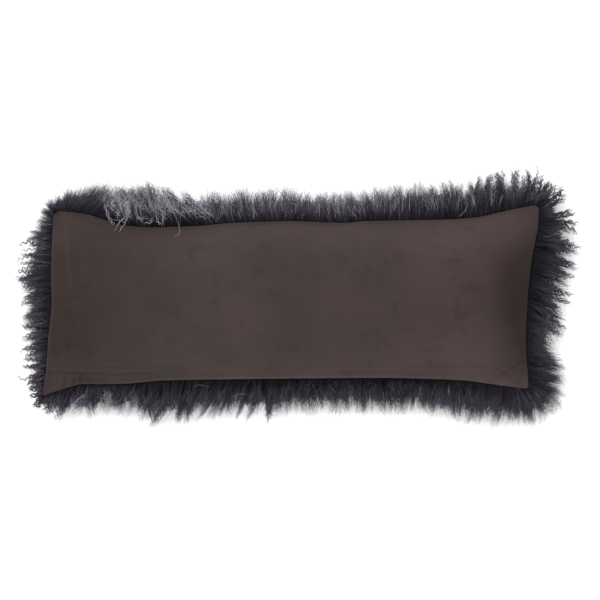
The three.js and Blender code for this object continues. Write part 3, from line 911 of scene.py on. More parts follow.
def ribbons(name, centre, width, tint, along, rng, roll=0.5):
    """One mesh of flat tapered strands: centre (strands, points, 3), width and along (strands, points), tint (strands)."""
    n, k, _ = centre.shape
    d = unit(np.gradient(centre, axis=1))
    across = unit(np.cross(d, np.array((0.0, 0.0, 1.0)) + 0.0 * d))
    over = unit(np.cross(across, d))
    turn = rng.normal(0, roll, n)[:, None] + along * rng.normal(0, roll, n)[:, None]
    side = across * np.cos(turn)[..., None] + over * np.sin(turn)[..., None]
    half = (width * 0.5)[..., None] * side
    pts = np.stack([centre - half, centre + half], 2).reshape(-1, 3)
    pts[:, 2] = np.maximum(pts[:, 2], 0.3)
    first = np.arange(n)[:, None] * (2 * k) + np.arange(k - 1)[None] * 2
    faces = np.stack([first, first + 1, first + 3, first + 2], -1).reshape(-1, 4)
    ob = new_mesh(name, shift(pts), faces)
    me = ob.data
    tint = np.clip(tint, 0.0, 0.985)
    tints = np.stack([np.repeat(tint, k), np.repeat(tint + 0.012, k)], -1).reshape(-1).astype(np.float32)
    alongs = np.repeat(along.reshape(-1), 2).astype(np.float32)
    for label, values in (("tint", tints), ("along", alongs)):
        a = me.attributes.new(label, "FLOAT", "POINT")
        a.data.foreach_set("value", values)
    loops = faces.ravel()
    uv = me.uv_layers.new(name="OFBake")
    uv.data.foreach_set("uv", np.stack([tints[loops], alongs[loops]], -1).ravel())
    me.materials.append(FUR)
    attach(ob, "root")
    return ob


def round_the_rim(rng, spacing):
    """Rim indices one after another at that spacing in mm, closer where the corners fan the hair out."""
    per_step = RIM_STEP / spacing * (1 + RIM["reach"] * RIM["spread"] * 0.7)
    passed = np.concatenate(([0.0], np.cumsum(per_step)))
    n = int(passed[-1])
    return np.interp(np.arange(n) + 0.5 + rng.uniform(-0.38, 0.38, n), passed, np.arange(N_RIM + 1)) % N_RIM


def cluster(rng, fine, length, bunch=1.0, long_share=0.0):
    """Fine locks that bunch into pointed ones: what all the layers of the pile share."""
    main = round_the_rim(rng, RIM["size"])
    m = len(main)
    j = main.astype(int)
    lean = RIM["lean"][j] + (4 + 8 * RIM["tight"][j]) * SWAY[j] + rng.normal(0, 1, m) * RIM["tangle"][j]
    ragged = 0.12 + 0.95 * RIM["tight"][j]
    far = rng.normal(length[0], length[1], m)
    far = length[0] + (far - length[0]) * ragged + np.where(rng.random(m) < long_share, 0.14, -0.03) * ragged
    bend = rng.normal(0, 0.13, m)
    crimp = rng.uniform(10.0, 14.0, m) * RIM["pitch"][j]
    phase = rng.uniform(0, 2 * np.pi, m)
    plane = rng.normal(0, 0.3, m)

    where = round_the_rim(rng, fine)
    n = len(where)
    i = where.astype(int)
    gap = (where[:, None] - main[None] + N_RIM / 2) % N_RIM - N_RIM / 2
    to = np.argmin(np.abs(gap), 1)
    gap = gap[np.arange(n), to] * RIM_STEP
    aside = np.clip(2 * gap / RIM["size"][i], -1.2, 1.2)
    tight = np.clip(RIM["tight"][i] + rng.normal(0, 0.08, n), 0, 0.97)
    # along the right end and the bottom hairs are pale only towards their tips
    whole = np.where((RIM["q"][i] > 1) & (RIM["q"][i] < 3), 0.06, 0.5)
    pale = rng.random(n) < whole * RIM["pale"][i] * np.clip(0.75 + 0.7 * PATCHES[i], 0.1, 1.6)
    return {
        "i": i,
        "size": np.full(n, fine),
        "tight": tight,
        "shift": -gap * (0.15 + 0.78 * tight**1.5) * bunch,
        "lean": lean[to] + rng.normal(0, 0.5, n) * RIM["tangle"][i] * (1 - 0.85 * tight),
        "length": far[to] * (1 - 0.28 * tight * aside**2 * bunch) * (1 + rng.normal(0, 0.07, n) * (1.2 - 0.8 * tight)),
        "bend": bend[to] + rng.normal(0, 0.05, n),
        "crimp": crimp[to] * (1 + rng.normal(0, 0.09, n) * (1 - 0.8 * tight)),
        "phase": phase[to] + rng.normal(0, 1.0, n) * (1 - 0.75 * tight),
        "plane": plane[to] + rng.normal(0, 0.5, n) * (1 - 0.8 * tight),
        "wave": RIM["wave"][i] * np.clip(rng.normal(1.0, 0.22, n), 0.3, 1.6),
        "pale": np.where(pale, 0.85, (0.2 * whole) + 0.2 * whole * RIM["pale"][i]),
        "share": rng.random(m)[to],
        "shade": rng.normal(0, 0.02, n),
    }


class Locks:
    """One layer of locks: they root on the belly and stand out past the seam, each a bent, crimped line."""

    def __init__(self, rng, shared, depth, scatter=0.3, loosen=0.0, length=1.0):
        for name, value in shared.items():
            setattr(self, name, value)
        i, n = self.i, len(self.i)
        self.count = n
        # how deep it roots: 0 at the seam, 1 at the pressed underside
        self.depth = depth = np.clip(rng.uniform(*depth, n), 0, 1)
        self.tight = np.clip(self.tight - loosen, 0, 0.97)
        # a lock that closes up keeps together to its tip
        loose = scatter * (1 - 0.85 * self.tight)
        lean = np.radians(self.lean + loose * rng.normal(0, 14, n))
        rise = 1.04 - 0.98 * depth + rng.normal(0, 0.05, n)
        rise += np.maximum(0, RIM["lift"][i]) / 74.0 * (1 - smoothstep(0.0, 0.2, depth)) * rng.uniform(0.0, 1.0, n)
        rise = np.clip(rise, 0.03, 1.3)
        out, tan = RIM["out"][i], RIM["tan"][i]
        # a lock that leans is longer, so that it still reaches the outline
        slant = np.tan(np.clip(lean, -1.0, 1.0))
        far = RIM["reach"][i] * (1 + (0.02 + 0.06 * RIM["tight"][i]) * LUMPS[i]) * PILE_SECTION(rise) * length
        far = np.minimum(far * np.clip(self.length + loose * rng.normal(0, 0.14, n), 0.35, 1.6), RIM["reach"][i] + MOST)
        high = rise * 72.0
        # it hangs down towards its tip
        hang = np.clip(4.0 * depth, 0.12, 1.0) * rng.uniform(3.0, 20.0, n)
        self.start = inside(i, 1.0 + ROOT_INSET * depth**1.3)
        self.tip = np.concatenate(
            [
                RIM["at"][i] + (out + tan * slant[:, None]) * far[:, None] + tan * self.shift[:, None],
                (high - hang)[:, None],
            ],
            1,
        )
        self.tip[:, 2] = np.maximum(self.tip[:, 2], 2.5)
        self.mid = np.zeros_like(self.tip)
        self.mid[:, :2] = self.start[:, :2] * 0.42 + self.tip[:, :2] * 0.58
        # hair leaves the cloth a little sideways of where it ends up, so locks are bent, not straight
        self.mid[:, :2] += tan * (self.bend * far)[:, None]
        crest = np.maximum(self.start[:, 2], high) + RIM["lift"][i] * rng.uniform(0.3, 1.0, n) - 2
        self.mid[:, 2] = np.where(depth < 0.3, crest, 0.35 * self.start[:, 2] + 0.65 * high)
        self.mid[:, 2] = np.clip(self.mid[:, 2], 2.0, 112.0)
        self.total = np.linalg.norm(self.tip - self.start, axis=1)
        chord = unit(self.tip - self.start)
        self.flat = unit(np.cross(chord, np.array((0.0, 0.0, 1.0))))
        self.up = unit(np.cross(self.flat, chord))
        self.phase = self.phase + loose * rng.normal(0, 1.5, n)

    def line(self, k, t, jitter=0.0):
        """Points of lock k (an array) at t (the same length by points)."""
        T = t[..., None]
        c = (
            self.start[k][:, None] * (1 - T) ** 2
            + 2 * self.mid[k][:, None] * T * (1 - T)
            + self.tip[k][:, None] * T * T
        )
        size = self.wave[k][:, None] * smoothstep(0.15, 0.7, t)
        ph = 2 * np.pi * self.total[k][:, None] * t / self.crimp[k][:, None] + self.phase[k][:, None]
        # the crimp drifts, so that no lock is a clean sine
        ph = ph + 0.6 * np.sin(ph * 0.37 + self.phase[k][:, None] * 2) + np.asarray(jitter)[..., None]
        a = size * np.sin(ph)
        b = size * 0.6 * np.sin(ph + 1.9)
        cp, sp = np.cos(self.plane[k])[:, None], np.sin(self.plane[k])[:, None]
        return (
            c
            + self.flat[k][:, None] * (a * cp + b * sp)[..., None]
            + self.up[k][:, None] * (b * cp - a * sp)[..., None]
        )


def grow(rng, locks, per_mm, t, width, short=0.25, fray=1.0, own=0.35):
    """The strands of some locks, spread out where they root and drawn together, or not, at the tip."""
    per = np.maximum(1, np.round(per_mm * locks.size + rng.uniform(-0.5, 0.5, locks.count))).astype(int)
    k = np.repeat(np.arange(locks.count), per)
    n = len(k)
    across = rng.uniform(-1, 1, n)
    uneven = np.broadcast_to(short, locks.count)[k] * (1.15 - 0.6 * locks.tight[k])
    reach = 1 - 0.22 * locks.tight[k] * across**2 - rng.uniform(0, 1, n) ** 1.5 * uneven
    tt = np.broadcast_to(t, (n, len(t)))
    tight = locks.tight[k]
    c = locks.line(k, tt * reach[:, None], rng.normal(0, 1, n) * (0.2 + 1.6 * (1 - tight) ** 1.5))
    i = (locks.i[k] + (across * 0.68 * locks.size[k] / RIM_STEP).astype(int)) % N_RIM
    inset = 1.0 + ROOT_INSET * np.clip(locks.depth[k] + rng.normal(0, 0.04, n), 0, 1) ** 1.3
    off = inside(i, inset) - locks.start[k]
    off *= np.minimum(1, 1.3 * locks.size[k] / np.maximum(np.linalg.norm(off, axis=1), 1e-6))[:, None]
    c = c + off[:, None] * (1 - tight[:, None] * smoothstep(0.12, 0.85, tt))[..., None]
    # what is loose frays: each strand drifts and has a fine crimp of its own
    drift = np.clip(rng.normal(0, 1, (n, 3)), -2, 2) * np.array((1, 1, 0.8)) * (0.5 + 4.5 * (1 - tight))[:, None] * fray
    c = c + drift[:, None] * (tt**1.7)[..., None]
    ph = rng.uniform(0, 2 * np.pi, (n, 1)) + tt * (locks.total[k] / rng.uniform(6, 11, n))[:, None] * 2 * np.pi
    fine = own * (0.4 + (1 - tight))[:, None] * smoothstep(0.2, 0.8, tt)
    c = c + locks.flat[k][:, None] * (fine * np.sin(ph))[..., None]
    c = c + locks.up[k][:, None] * (fine * np.cos(ph * 0.9))[..., None]
    low = c[..., 2] < 4.0
    c[..., 2] = np.where(low, 1.0 + 3.0 * np.exp(np.minimum(c[..., 2] - 4.0, 0) / 6.0), c[..., 2])
    tip = width[1] + 0.35 * width[0] * smoothstep(0.75, 0.95, tight)[:, None]
    w = rng.uniform(0.7, 1.3, n)[:, None] * (width[0] + (tip - width[0]) * tt**1.2)
    pale = rng.random(n) < locks.pale[k]
    tint = np.where(
        pale, rng.uniform(0.45, 0.98, n) * np.clip(0.65 + RIM["pale"][i], 0, 1), np.clip(RIM["grey"][i] + locks.shade[k] + rng.normal(0, 0.025, n), 0, 0.45)
    )
    # along the bottom the dark part of each strand reaches further out: painted shade under the seam's edge
    return c, w, tint, tt - 0.15 * RIM["thin"][i][:, None] * np.sin(2 * np.pi * tt), i


def by_part(name, arrays, parts, roll):
    c, width, tint, along, i = arrays
    which = i * parts // N_RIM
    for k in range(parts):
        sel = which == k
        if sel.any():
            made.append(ribbons(f"{name}_{k + 1}", c[sel], width[sel], tint[sel], along[sel], rng, roll))


rng = np.random.default_rng(7)
LUMPS = 0.6 * rim_noise(rng, 34.0) + 0.5 * rim_noise(rng, 15.0)
SWAY = 0.7 * rim_noise(rng, 90.0) + 0.5 * rim_noise(rng, 28.0)
PATCHES = rim_noise(rng, 18.0)
made = []

few = np.array((0.0, 0.3, 0.55, 0.78, 1.0))
some = np.concatenate((np.linspace(0, 0.4, 4)[:-1], np.linspace(0.4, 1, 9)))
many = np.concatenate((np.linspace(0, 0.36, 4)[:-1], np.linspace(0.36, 1, 16)))

# dense dark pile that fills the shape, in layers from the seam down
FILL = (
    # depth from, to, share of the reach
    (0.0, 0.12, 0.70),
    (0.1, 0.35, 0.78),
    (0.3, 0.65, 0.84),
    (0.6, 1.0, 0.86),
)
for n, (low, high, length) in enumerate(FILL):
    dense = cluster(rng, 5.0, (length, 0.06), 0.5)
    dense["length"] = dense["length"] * RIM["full"][dense["i"]]
    body = Locks(rng, dense, (low, high), loosen=0.35)
    body.wave = body.wave * 0.5
    body.pale = body.pale * 0.6
    short = 0.3 + 0.42 * RIM["thin"][body.i]
    by_part(f"fur_body{n + 1}", grow(rng, body, 2.6 if n < 3 else 1.3, few, (0.95, 0.25), short, 1.2), 1, 0.2)

# crimped locks that make the outline, the same ones from the seam down to the floor
outer = cluster(rng, 4.6, (1.12, 0.09), 1.0, 0.2)
outer["length"] = outer["length"] * RIM["far"][outer["i"]]
by_part("fur_upper", grow(rng, Locks(rng, outer, (0.0, 0.16)), 1.9, many, (0.6, 0.16)), 1, 0.4)
by_part("fur_middle", grow(rng, Locks(rng, outer, (0.14, 0.42)), 1.9, many, (0.6, 0.16)), 1, 0.4)
by_part("fur_lower", grow(rng, Locks(rng, outer, (0.4, 0.95)), 1.25, some, (0.7, 0.18)), 1, 0.5)

# single hairs that stray past them
stray = cluster(rng, 2.1, (1.1, 0.12), 0.3)
clear = rng.random(len(stray["i"])) > 0.85 * smoothstep(0.7, 0.93, RIM["tight"][stray["i"]])
stray = Locks(rng, {name: value[clear] for name, value in stray.items()}, (0.0, 0.5), 1.0)
stray.size[:] = 0.9
by_part("fur_strays", grow(rng, stray, 1.1, many, (0.35, 0.12), 0.2, 1.0, 0.6), 1, 0.6)

# single pale hairs, lying over the dark ones: they come up out of the pile some way from their roots
PALE = (
    # sides it starts and ends on, depth, share of the pale, where along it the hair shows, width there and at its tip
    (3.9, 1.0, 0.10, 2.1, 0.30, 1.10, 0.50),
    (3.9, 1.0, 0.30, 1.3, 0.42, 1.00, 0.40),
    (2.0, 2.78, 0.30, 2.0, 0.62, 0.85, 0.35),
    (2.78, 3.0, 0.20, 2.2, 0.36, 1.05, 0.45),
)
for number, (side_a, side_b, high, share, start, thick, thin) in enumerate(PALE):
    lone = cluster(rng, 0.62, (1.0, 0.16), 0.5, 0.2)
    i = lone["i"]
    bunched = np.where(lone["share"] < 0.5, 1.6, 0.25)
    chosen = rng.random(len(i)) < share * RIM["pale"][i] * bunched * np.clip(1.0 + 0.9 * PATCHES[i], 0.05, 1.8) * 0.7
    chosen &= ((RIM["q"][i] - side_a) % 4) < ((side_b - side_a) % 4)
    lone = {name: value[chosen] for name, value in lone.items()}
    n = chosen.sum()
    lone["pale"] = np.ones(n)
    lone["length"] = lone["length"] * RIM["far"][lone["i"]]
    lone["bend"] = lone["bend"] + rng.normal(0, 0.10, n)
    lone["wave"] = lone["wave"] * rng.uniform(0.5, 1.2, n)
    lone = Locks(rng, lone, (high - 0.10, high), 1.0)
    points = int(12 + 20 * (1 - start))
    strands = list(grow(rng, lone, 1.0, np.linspace(start, 1, points), (thick, thin), 0.5, 0.7, 0.5))
    t = np.linspace(0, 1, points)
    strands[1] = strands[1] * smoothstep(-0.08, 0.2, t)
    # paler than the hairs under them from the start
    strands[3] = strands[3] * 0.0 + 0.25 + 0.65 * t
    by_part(f"fur_pale{number + 1}", strands, 1, 0.3)

# single locks that the eye picks out, some of them over the edge of the back: points in mm on the plan and mm
# above what lies under them, then how many hairs, how far they spread, their width, crimp and tint
WISPS = (
    # pale tangle beside the top left corner
    (((-313, 154, 6), (-328, 136, 7), (-335, 121, 2)), 1, 0.5, 1.3, 0.8, 0.95),
    (((-311, 150, 6), (-317, 136, 7), (-326, 120, 2)), 2, 1.6, 1.0, 0.8, 0.90),
    (((-304, 163, 5), (-313, 150, 7), (-326, 139, 7), (-333, 129, 3)), 1, 1.0, 1.0, 0.6, 0.85),
    (((-222, 141, 5), (-219, 126, 6), (-218, 116, 3), (-226, 109, 2)), 1, 0.6, 1.0, 0.4, 0.70),
    (((-273, 174, 8), (-266, 156, 8), (-260, 141, 7), (-253, 132, 4)), 3, 4.0, 1.1, 1.0, 0.90),
    (((-262, 152, 7), (-269, 139, 7), (-277, 136, 4)), 3, 4.0, 1.0, 0.8, 0.85),
    (((-302, 157, 7), (-293, 145, 8), (-284, 136, 3)), 3, 4.0, 1.0, 0.8, 0.75),
    (((-359, 194, 5), (-355, 172, 8), (-349, 150, 8), (-342, 138, 3)), 3, 5.0, 1.1, 1.4, 0.80),
    (((-345, 196, 5), (-340, 178, 8), (-331, 160, 8), (-322, 142, 3)), 4, 7.0, 1.1, 1.6, 0.85),
    (((-255, 167, 8), (-249, 154, 8), (-249, 137, 4)), 3, 4.0, 1.1, 0.8, 0.80),
    (((-262, 166, 9), (-228, 165, 10), (-200, 157, 8), (-177, 141, 4)), 5, 6.0, 1.2, 1.4, 0.80),
    (((-247, 158, 9), (-220, 155, 10), (-196, 158, 8), (-182, 163, 4)), 3, 5.0, 1.1, 1.2, 0.75),
    (((-233, 174, 8), (-207, 166, 9), (-186, 155, 6)), 3, 5.0, 1.1, 1.2, 0.70),
    (((-206, 186, 7), (-188, 171, 8), (-167, 151, 5)), 6, 9.0, 1.1, 1.4, 0.75),
    (((-346, 170, 7), (-331, 157, 8), (-316, 146, 4)), 4, 8.0, 1.1, 1.2, 0.75),
    (((-340, 143, 5), (-326, 141, 6), (-307, 147, 4)), 2, 3.0, 0.9, 0.8, 0.65),
    (((-283, 198, 3), (-272, 181, 8), (-256, 160, 8)), 6, 8.0, 1.0, 1.8, 0.80),
    (((-250, 200, 3), (-243, 184, 8), (-236, 168, 8)), 6, 8.0, 1.0, 1.8, 0.75),
    (((-339, 196, 4), (-327, 176, 9), (-319, 153, 7)), 6, 10.0, 1.1, 1.6, 0.90),
    (((-324, 186, 6), (-317, 168, 9), (-311, 151, 7)), 5, 9.0, 1.1, 1.6, 0.92),
    (((-302, 190, 5), (-290, 176, 9), (-284, 160, 7)), 4, 9.0, 1.0, 1.6, 0.75),
    (((-306, 143, 4), (-291, 145, 6), (-274, 146, 4)), 2, 3.0, 0.9, 0.8, 0.65),
    (((-140, 176, 6), (-146, 158, 7), (-150, 143, 4)), 3, 5.0, 0.9, 0.8, 0.55),
    # along the top
    (((-85, 168, 5), (-82, 155, 6), (-84, 144, 3)), 2, 4.0, 0.9, 0.6, 0.60),
    (((302, 180, 5), (303, 167, 6), (297, 155, 6), (288, 147, 4)), 1, 0.8, 1.1, 0.4, 0.70),
    (((309, 200, 4), (314, 184, 6), (317, 171, 5)), 4, 4.0, 1.0, 1.0, 0.72),
    (((180, 190, 4), (176, 176, 6), (170, 163, 5)), 4, 5.0, 1.0, 1.0, 0.62),
    (((386, 195, 5), (391, 211, 3), (388, 225, 0)), 3, 3.0, 0.9, 1.4, 0.45),
    (((405, 190, 5), (412, 206, 3), (408, 219, 0)), 3, 3.0, 0.9, 1.4, 0.40),
    (((368, 205, 2), (371, 220, 0), (369, 232, 0)), 6, 2.0, 0.8, 2.0, 0.12),
    (((424, 205, 2), (431, 220, 0), (434, 230, 0), (431, 242, 0)), 5, 1.5, 0.8, 1.6, 0.10),
    # right end
    (((441, 112, 3), (450, 111, 5), (461, 114, 5), (469, 122, 3)), 1, 0.5, 0.7, 0.3, 0.50),
    (((439, -56, 2), (451, -72, 3), (461, -96, 1)), 6, 12.0, 0.7, 1.4, 0.42),
    (((446, -36, 2), (458, -50, 2), (467, -72, 1)), 5, 10.0, 0.7, 1.4, 0.42),
    # bottom
    (((-347, -172, 4), (-354, -185, 3), (-366, -201, 0)), 8, 9.0, 0.9, 1.6, 0.70),
    (((-338, -178, 3), (-344, -192, 2), (-351, -206, 0)), 6, 9.0, 0.9, 1.6, 0.60),
    (((-303, -186, 2), (-306, -197, 1), (-316, -209, 0)), 5, 9.0, 0.9, 1.6, 0.55),
    (((-389, -175, 3), (-404, -186, 2), (-423, -206, 0)), 2, 2.5, 0.8, 0.7, 0.60),
    (((-398, -182, 2), (-406, -195, 1), (-415, -208, 0)), 2, 3.0, 0.8, 0.7, 0.50),
    (((-195, -162, 3), (-182, -159, 4), (-164, -163, 3)), 2, 1.6, 0.6, 0.6, 0.34),
    (((-124, -183, 2), (-113, -178, 3), (-97, -177, 2)), 2, 2.0, 0.7, 0.6, 0.45),
    # crimped locks of the left end
    (((-474, 100, 0), (-495, 101, 0), (-513, 96, 0)), 7, 0.7, 0.8, 3.0, 0.10),
    (((-474, 88, 0), (-492, 88, 0), (-508, 84, 0)), 6, 0.7, 0.7, 2.6, 0.10),
    (((-474, 74, 0), (-497, 74, 0), (-516, 68, 0)), 7, 0.7, 0.8, 3.2, 0.10),
    (((-476, 55, 0), (-495, 55, 0), (-514, 50, 0)), 7, 0.7, 0.8, 3.2, 0.10),
    (((-476, 42, 0), (-499, 39, 0), (-520, 35, 0)), 8, 0.7, 0.8, 3.2, 0.10),
    (((-476, 14, 0), (-496, 2, 0), (-509, -14, 0)), 7, 0.7, 0.8, 2.6, 0.12),
    (((-474, -60, 0), (-492, -66, 0), (-506, -74, 0)), 7, 0.8, 0.8, 2.0, 0.10),
    (((-474, -136, 0), (-491, -144, 0), (-503, -150, 0), (-515, -144, 0)), 8, 0.7, 0.8, 2.0, 0.12),
)


def through(points, n):
    """A smooth line through a few points, as n of them."""
    p = np.asarray(points, float)
    p = np.concatenate([[2 * p[0] - p[1]], p, [2 * p[-1] - p[-2]]])
    t = np.linspace(0, len(points) - 1, n)
    i = np.clip(t.astype(int), 0, len(points) - 2)
    f = (t - i)[:, None]
    a, b, c, d = p[i], p[i + 1], p[i + 2], p[i + 3]
    return b + 0.5 * f * (c - a + f * (2 * a - 5 * b + 4 * c - d + f * (3 * (b - c) + d - a)))


def wisps():
    n = 24
    t = np.linspace(0, 1, n)
    lines, widths, tints = [], [], []
    for points, hairs, spread, width, crimp, tint in WISPS:
        line = through(points, n)
        length = np.linalg.norm(np.diff(line[:, :2], axis=0), axis=1).sum()
        d = unit(np.gradient(line[:, :2], axis=0))
        side = np.stack([-d[:, 1], d[:, 0]], -1)
        phase = rng.uniform(0, 6.28)
        pitch = rng.uniform(9, 12)
        for h in range(hairs):
            c = line.copy()
            off = rng.uniform(-1, 1) * spread
            apart = smoothstep(1.8, 3.0, spread)
            swing = crimp * (1 + apart * rng.uniform(-0.4, 0.3)) * smoothstep(0.0, 0.4, t) * np.sin(
                2 * np.pi * t * length / (pitch * (1 + apart * rng.uniform(-0.15, 0.2)))
                + phase
                + rng.normal(0, 0.12 + 0.8 * apart)
            )
            bow = rng.normal(0, 0.22 * spread) * np.sin(np.pi * t) + rng.normal(0, 0.2 * spread) * t
            c[:, :2] += side * (off * (0.6 + 0.4 * rng.uniform(-1, 1) * t) + bow + swing)[:, None]
            c[:, :2] += d * rng.normal(0, min(spread, 6.0) * 0.8)
            c[:, 2] += rng.uniform(0, 2.0)
            lines.append(c)
            widths.append(width * rng.uniform(0.75, 1.2) * smoothstep(-0.1, 0.2, t) * (1 - 0.7 * t**1.8))
            tints.append(np.clip(tint * rng.uniform(0.8, 1.1), 0, 0.98))
    lines = np.array(lines)
    # laid on what is under them: the back inside the seam, the pile outside it
    gap, near = near_seam(lines[..., :2])
    off = lines[..., :2] - RIM["at"][near]
    outside = (off * RIM["out"][near]).sum(-1) > 0
    spots = lines[..., :2].reshape(-1, 2)
    under = np.empty(len(spots))
    backs = top.reshape(-1, 3)
    for k, spot in enumerate(spots):
        under[k] = backs[((backs[:, :2] - spot) ** 2).sum(1).argmin(), 2]
    under = under.reshape(outside.shape)
    lines[..., 2] += np.where(outside, 74.0 - 0.10 * gap, under + 1.0)
    lines[:, :, 2] = lines[:, :, 2] * 0.5 + 0.25 * (np.roll(lines[:, :, 2], 1, 1) + np.roll(lines[:, :, 2], -1, 1))
    lines[:, 0, 2], lines[:, -1, 2] = lines[:, 1, 2], lines[:, -2, 2]
    along = np.broadcast_to(0.35 + 0.6 * t, lines.shape[:2])
    made.append(ribbons("fur_wisps", lines, np.array(widths), np.array(tints), np.array(along), rng, 0.3))


wisps()


def pressed():
    """The front's own pile, pressed flat under the pillow in short crimped locks."""
    spots_u, spots_v = np.meshgrid(np.linspace(0.012, 0.988, 62), np.linspace(0.03, 0.97, 21), indexing="ij")
    n = spots_u.size
    u = np.clip(spots_u.ravel() + rng.uniform(-0.006, 0.006, n), 0.003, 0.997)
    v = np.clip(spots_v.ravel() + rng.uniform(-0.018, 0.018, n), 0.008, 0.992)
    root = plan(u, v)
    x, y = root[:, 0], root[:, 1]
    # the lie turns slowly from place to place
    lie = 2.2 * np.sin(x / 130 + 1.3) + 1.6 * np.cos(y / 75 + x / 210) + rng.normal(0, 0.45, n)
    size = rng.uniform(34, 50, n)
    # round the edge it lies outwards, under the rest of the pile
    for share in (-0.10, 0.18):
        rim = round_the_rim(rng, np.full(N_RIM, 8.5)).astype(int)
        far = share + rng.uniform(-0.06, 0.06, len(rim))
        root = np.concatenate([root, RIM["at"][rim] + RIM["out"][rim] * (RIM["reach"][rim] * far)[:, None]])
        away = np.arctan2(RIM["out"][rim][:, 1], RIM["out"][rim][:, 0])
        lie = np.concatenate([lie, away + 0.8 * SWAY[rim] + rng.normal(0, 0.45, len(rim))])
        size = np.concatenate([size, np.clip(RIM["reach"][rim] * (0.82 - far), 12, 44)])
    n = len(lie)
    strands, points = 3, 11
    t = np.linspace(0, 1, points)
    k = np.repeat(np.arange(n), strands)
    m = len(k)
    length = size[k] * rng.uniform(0.85, 1.05, m)
    angle = lie[k, None] + rng.normal(0, 0.3, n)[k, None] * t + rng.normal(0, 0.08, m)[:, None]
    step = length[:, None] / (points - 1)
    line = np.stack([np.cos(angle) * step, np.sin(angle) * step], -1)
    line = np.concatenate([np.zeros((m, 1, 2)), np.cumsum(line[:, :-1], 1)], 1)
    across = rng.uniform(-1, 1, m)
    off = (across * 6.0)[:, None] * (1 - 0.75 * smoothstep(0.1, 0.9, t)) + rng.normal(0, 0.6, m)[:, None] * t
    off = off + (2.2 * smoothstep(0, 0.4, t))[None] * np.sin(
        2 * np.pi * length[:, None] * t / rng.uniform(14, 18, n)[k, None] + rng.uniform(0, 6.28, n)[k, None]
    )
    side = np.stack([-np.sin(angle), np.cos(angle)], -1)
    centre = np.concatenate([root[k][:, None] + line + side * off[..., None], np.zeros((m, points, 1))], -1)
    # pressed flat on what it lies on
    centre[..., 2] = 3.4 - 2.2 * smoothstep(0, 0.3, t) + rng.uniform(-0.5, 0.6, m)[:, None] * smoothstep(0, 0.3, t)
    width = rng.uniform(0.8, 1.3, m)[:, None] * (2.9 - 2.3 * t**1.3)[None]
    pale = rng.random(n)[k] < 0.10
    tint = np.where(pale, rng.uniform(0.3, 0.6, m), rng.uniform(0.02, 0.26, m))
    along = np.broadcast_to(0.15 + 0.8 * t, (m, points))
    made.append(ribbons("fur_pressed", centre, width, tint, np.array(along), rng, 0.08))


pressed()

# what the strands root in: a dense, dark mass of pile, closed and ridged like locks, just under them
RING = 720
ring_i = np.arange(RING) * N_RIM // RING
GROUND = (
    # share of the reach, height, how far along a strand its colour is
    (-0.04, 62.0, 0.15),
    (0.10, 57.0, 0.20),
    (0.25, 53.5, 0.30),
    (0.36, 48.0, 0.45),
    (0.43, 40.0, 0.60),
    (0.47, 32.0, 0.65),
    (0.48, 24.0, 0.65),
    (0.47, 16.0, 0.60),
    (0.45, 9.0, 0.55),
    (0.42, 5.0, 0.50),
    (0.34, 3.6, 0.45),
)
lump, ridge = rim_noise(rng, 24.0), rim_noise(rng, 8.0)
loops, colours = [], []
for j, (share, z, colour) in enumerate(GROUND):
    mine = np.roll(lump, 14 * j)[ring_i] * 0.5 + np.roll(ridge, 9 * j)[ring_i] * 0.6 + rim_noise(rng, 12.0)[ring_i] * 0.25
    out = RIM["reach"][ring_i] * np.maximum(share, 0) * (1 + 0.2 * mine) + 4.0 * min(share, 0)
    height = z + (2.0 * mine if 0 < j < len(GROUND) - 2 else 0 * mine)
    loops.append(np.concatenate([RIM["at"][ring_i] + RIM["out"][ring_i] * out[:, None], height[:, None]], 1))
    colours.append(np.clip(colour + 0.12 * mine, 0, 1))
pts = np.concatenate(loops + [np.array([[0.0, 0.0, 58.0]]), np.array([[0.0, 0.0, 3.6]])])
colours = np.concatenate(colours + [np.array([0.15, 0.3])])
quads = []
here = np.arange(RING)
after = (here + 1) % RING
for j in range(len(GROUND) - 1):
    quads.append(np.stack([here, after, after + RING, here + RING], -1) + j * RING)
last = (len(GROUND) - 1) * RING
top_centre, base_centre = len(GROUND) * RING, len(GROUND) * RING + 1
quads.append(np.stack([after, here, here * 0 + top_centre, here * 0 + top_centre], -1))
quads.append(np.stack([here + last, after + last, here * 0 + base_centre, here * 0 + base_centre], -1))
under = new_mesh("fur_ground", shift(pts), np.concatenate(quads)[:, ::-1])
under.data.materials.append(FUR)
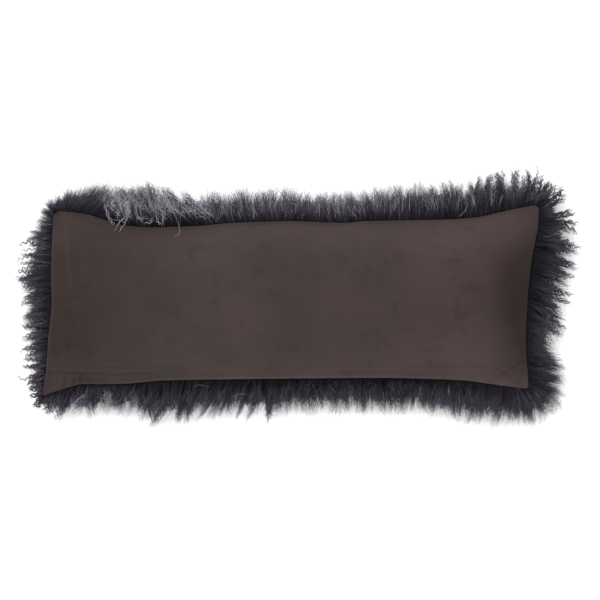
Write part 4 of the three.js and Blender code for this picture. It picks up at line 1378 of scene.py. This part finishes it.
for label, values in (("tint", 0.04 + 0.0 * colours), ("along", colours)):
    at = under.data.attributes.new(label, "FLOAT", "POINT")
    at.data.foreach_set("value", values.astype(np.float32))
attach(under, "root")
made.append(under)


def hanging():
    """Short crimped locks that hang down the side, over what the rest roots in."""
    profile = smooth_table([(z, share) for share, z, _ in GROUND[:0:-1]])
    i = round_the_rim(rng, np.full(N_RIM, 4.0)).astype(int)
    n = len(i)
    tall = rng.uniform(14.0, 60.0, n)
    low = np.maximum(tall - rng.uniform(20, 34, n), 2.6)
    reach = RIM["reach"][i]
    near = (profile(tall) - 0.05) * reach
    far = near + np.clip(rng.uniform(0.16, 0.36, n) * reach, 7, 22)
    lean = np.radians(RIM["lean"][i] + 16 * SWAY[i] + rng.normal(0, 14, n))
    aside = np.tan(np.clip(lean, -1, 1)) * (far - near + 12)
    strands, points = 4, 8
    t = np.linspace(0, 1, points)
    k = np.repeat(np.arange(n), strands)
    m = len(k)
    T = t[None]
    out = near[k, None] + (far - near)[k, None] * (1.4 * T - 0.4 * T * T) * rng.uniform(0.8, 1.1, m)[:, None]
    z = tall[k, None] + (low - tall)[k, None] * T**1.5
    spread = rng.uniform(-4.0, 4.0, m)[:, None] * (1 - 0.7 * T) + aside[k, None] * T
    wave = 1.9 * smoothstep(0, 0.5, T) * np.sin(6.28 * 1.9 * T + rng.uniform(0, 6.28, n)[k, None] + rng.normal(0, 0.3, m)[:, None])
    plan_at = RIM["at"][i][k, None] + RIM["out"][i][k, None] * out[..., None] + RIM["tan"][i][k, None] * (spread + wave)[..., None]
    centre = np.concatenate([plan_at, np.maximum(z, 2.0)[..., None]], -1)
    width = rng.uniform(0.8, 1.3, m)[:, None] * (2.1 - 1.6 * t**1.2)[None]
    tint = np.clip(RIM["grey"][i][k] + rng.uniform(0.0, 0.12, m) + 0.35 * (rng.random(n)[k] < 0.8 * RIM["pale"][i][k]), 0, 0.8)
    along = np.broadcast_to(0.3 + 0.55 * t, (m, points))
    made.append(ribbons("fur_hanging", centre, width, tint, np.array(along), rng, 0.2))


hanging()

for piece in made:
    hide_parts("fur_front")
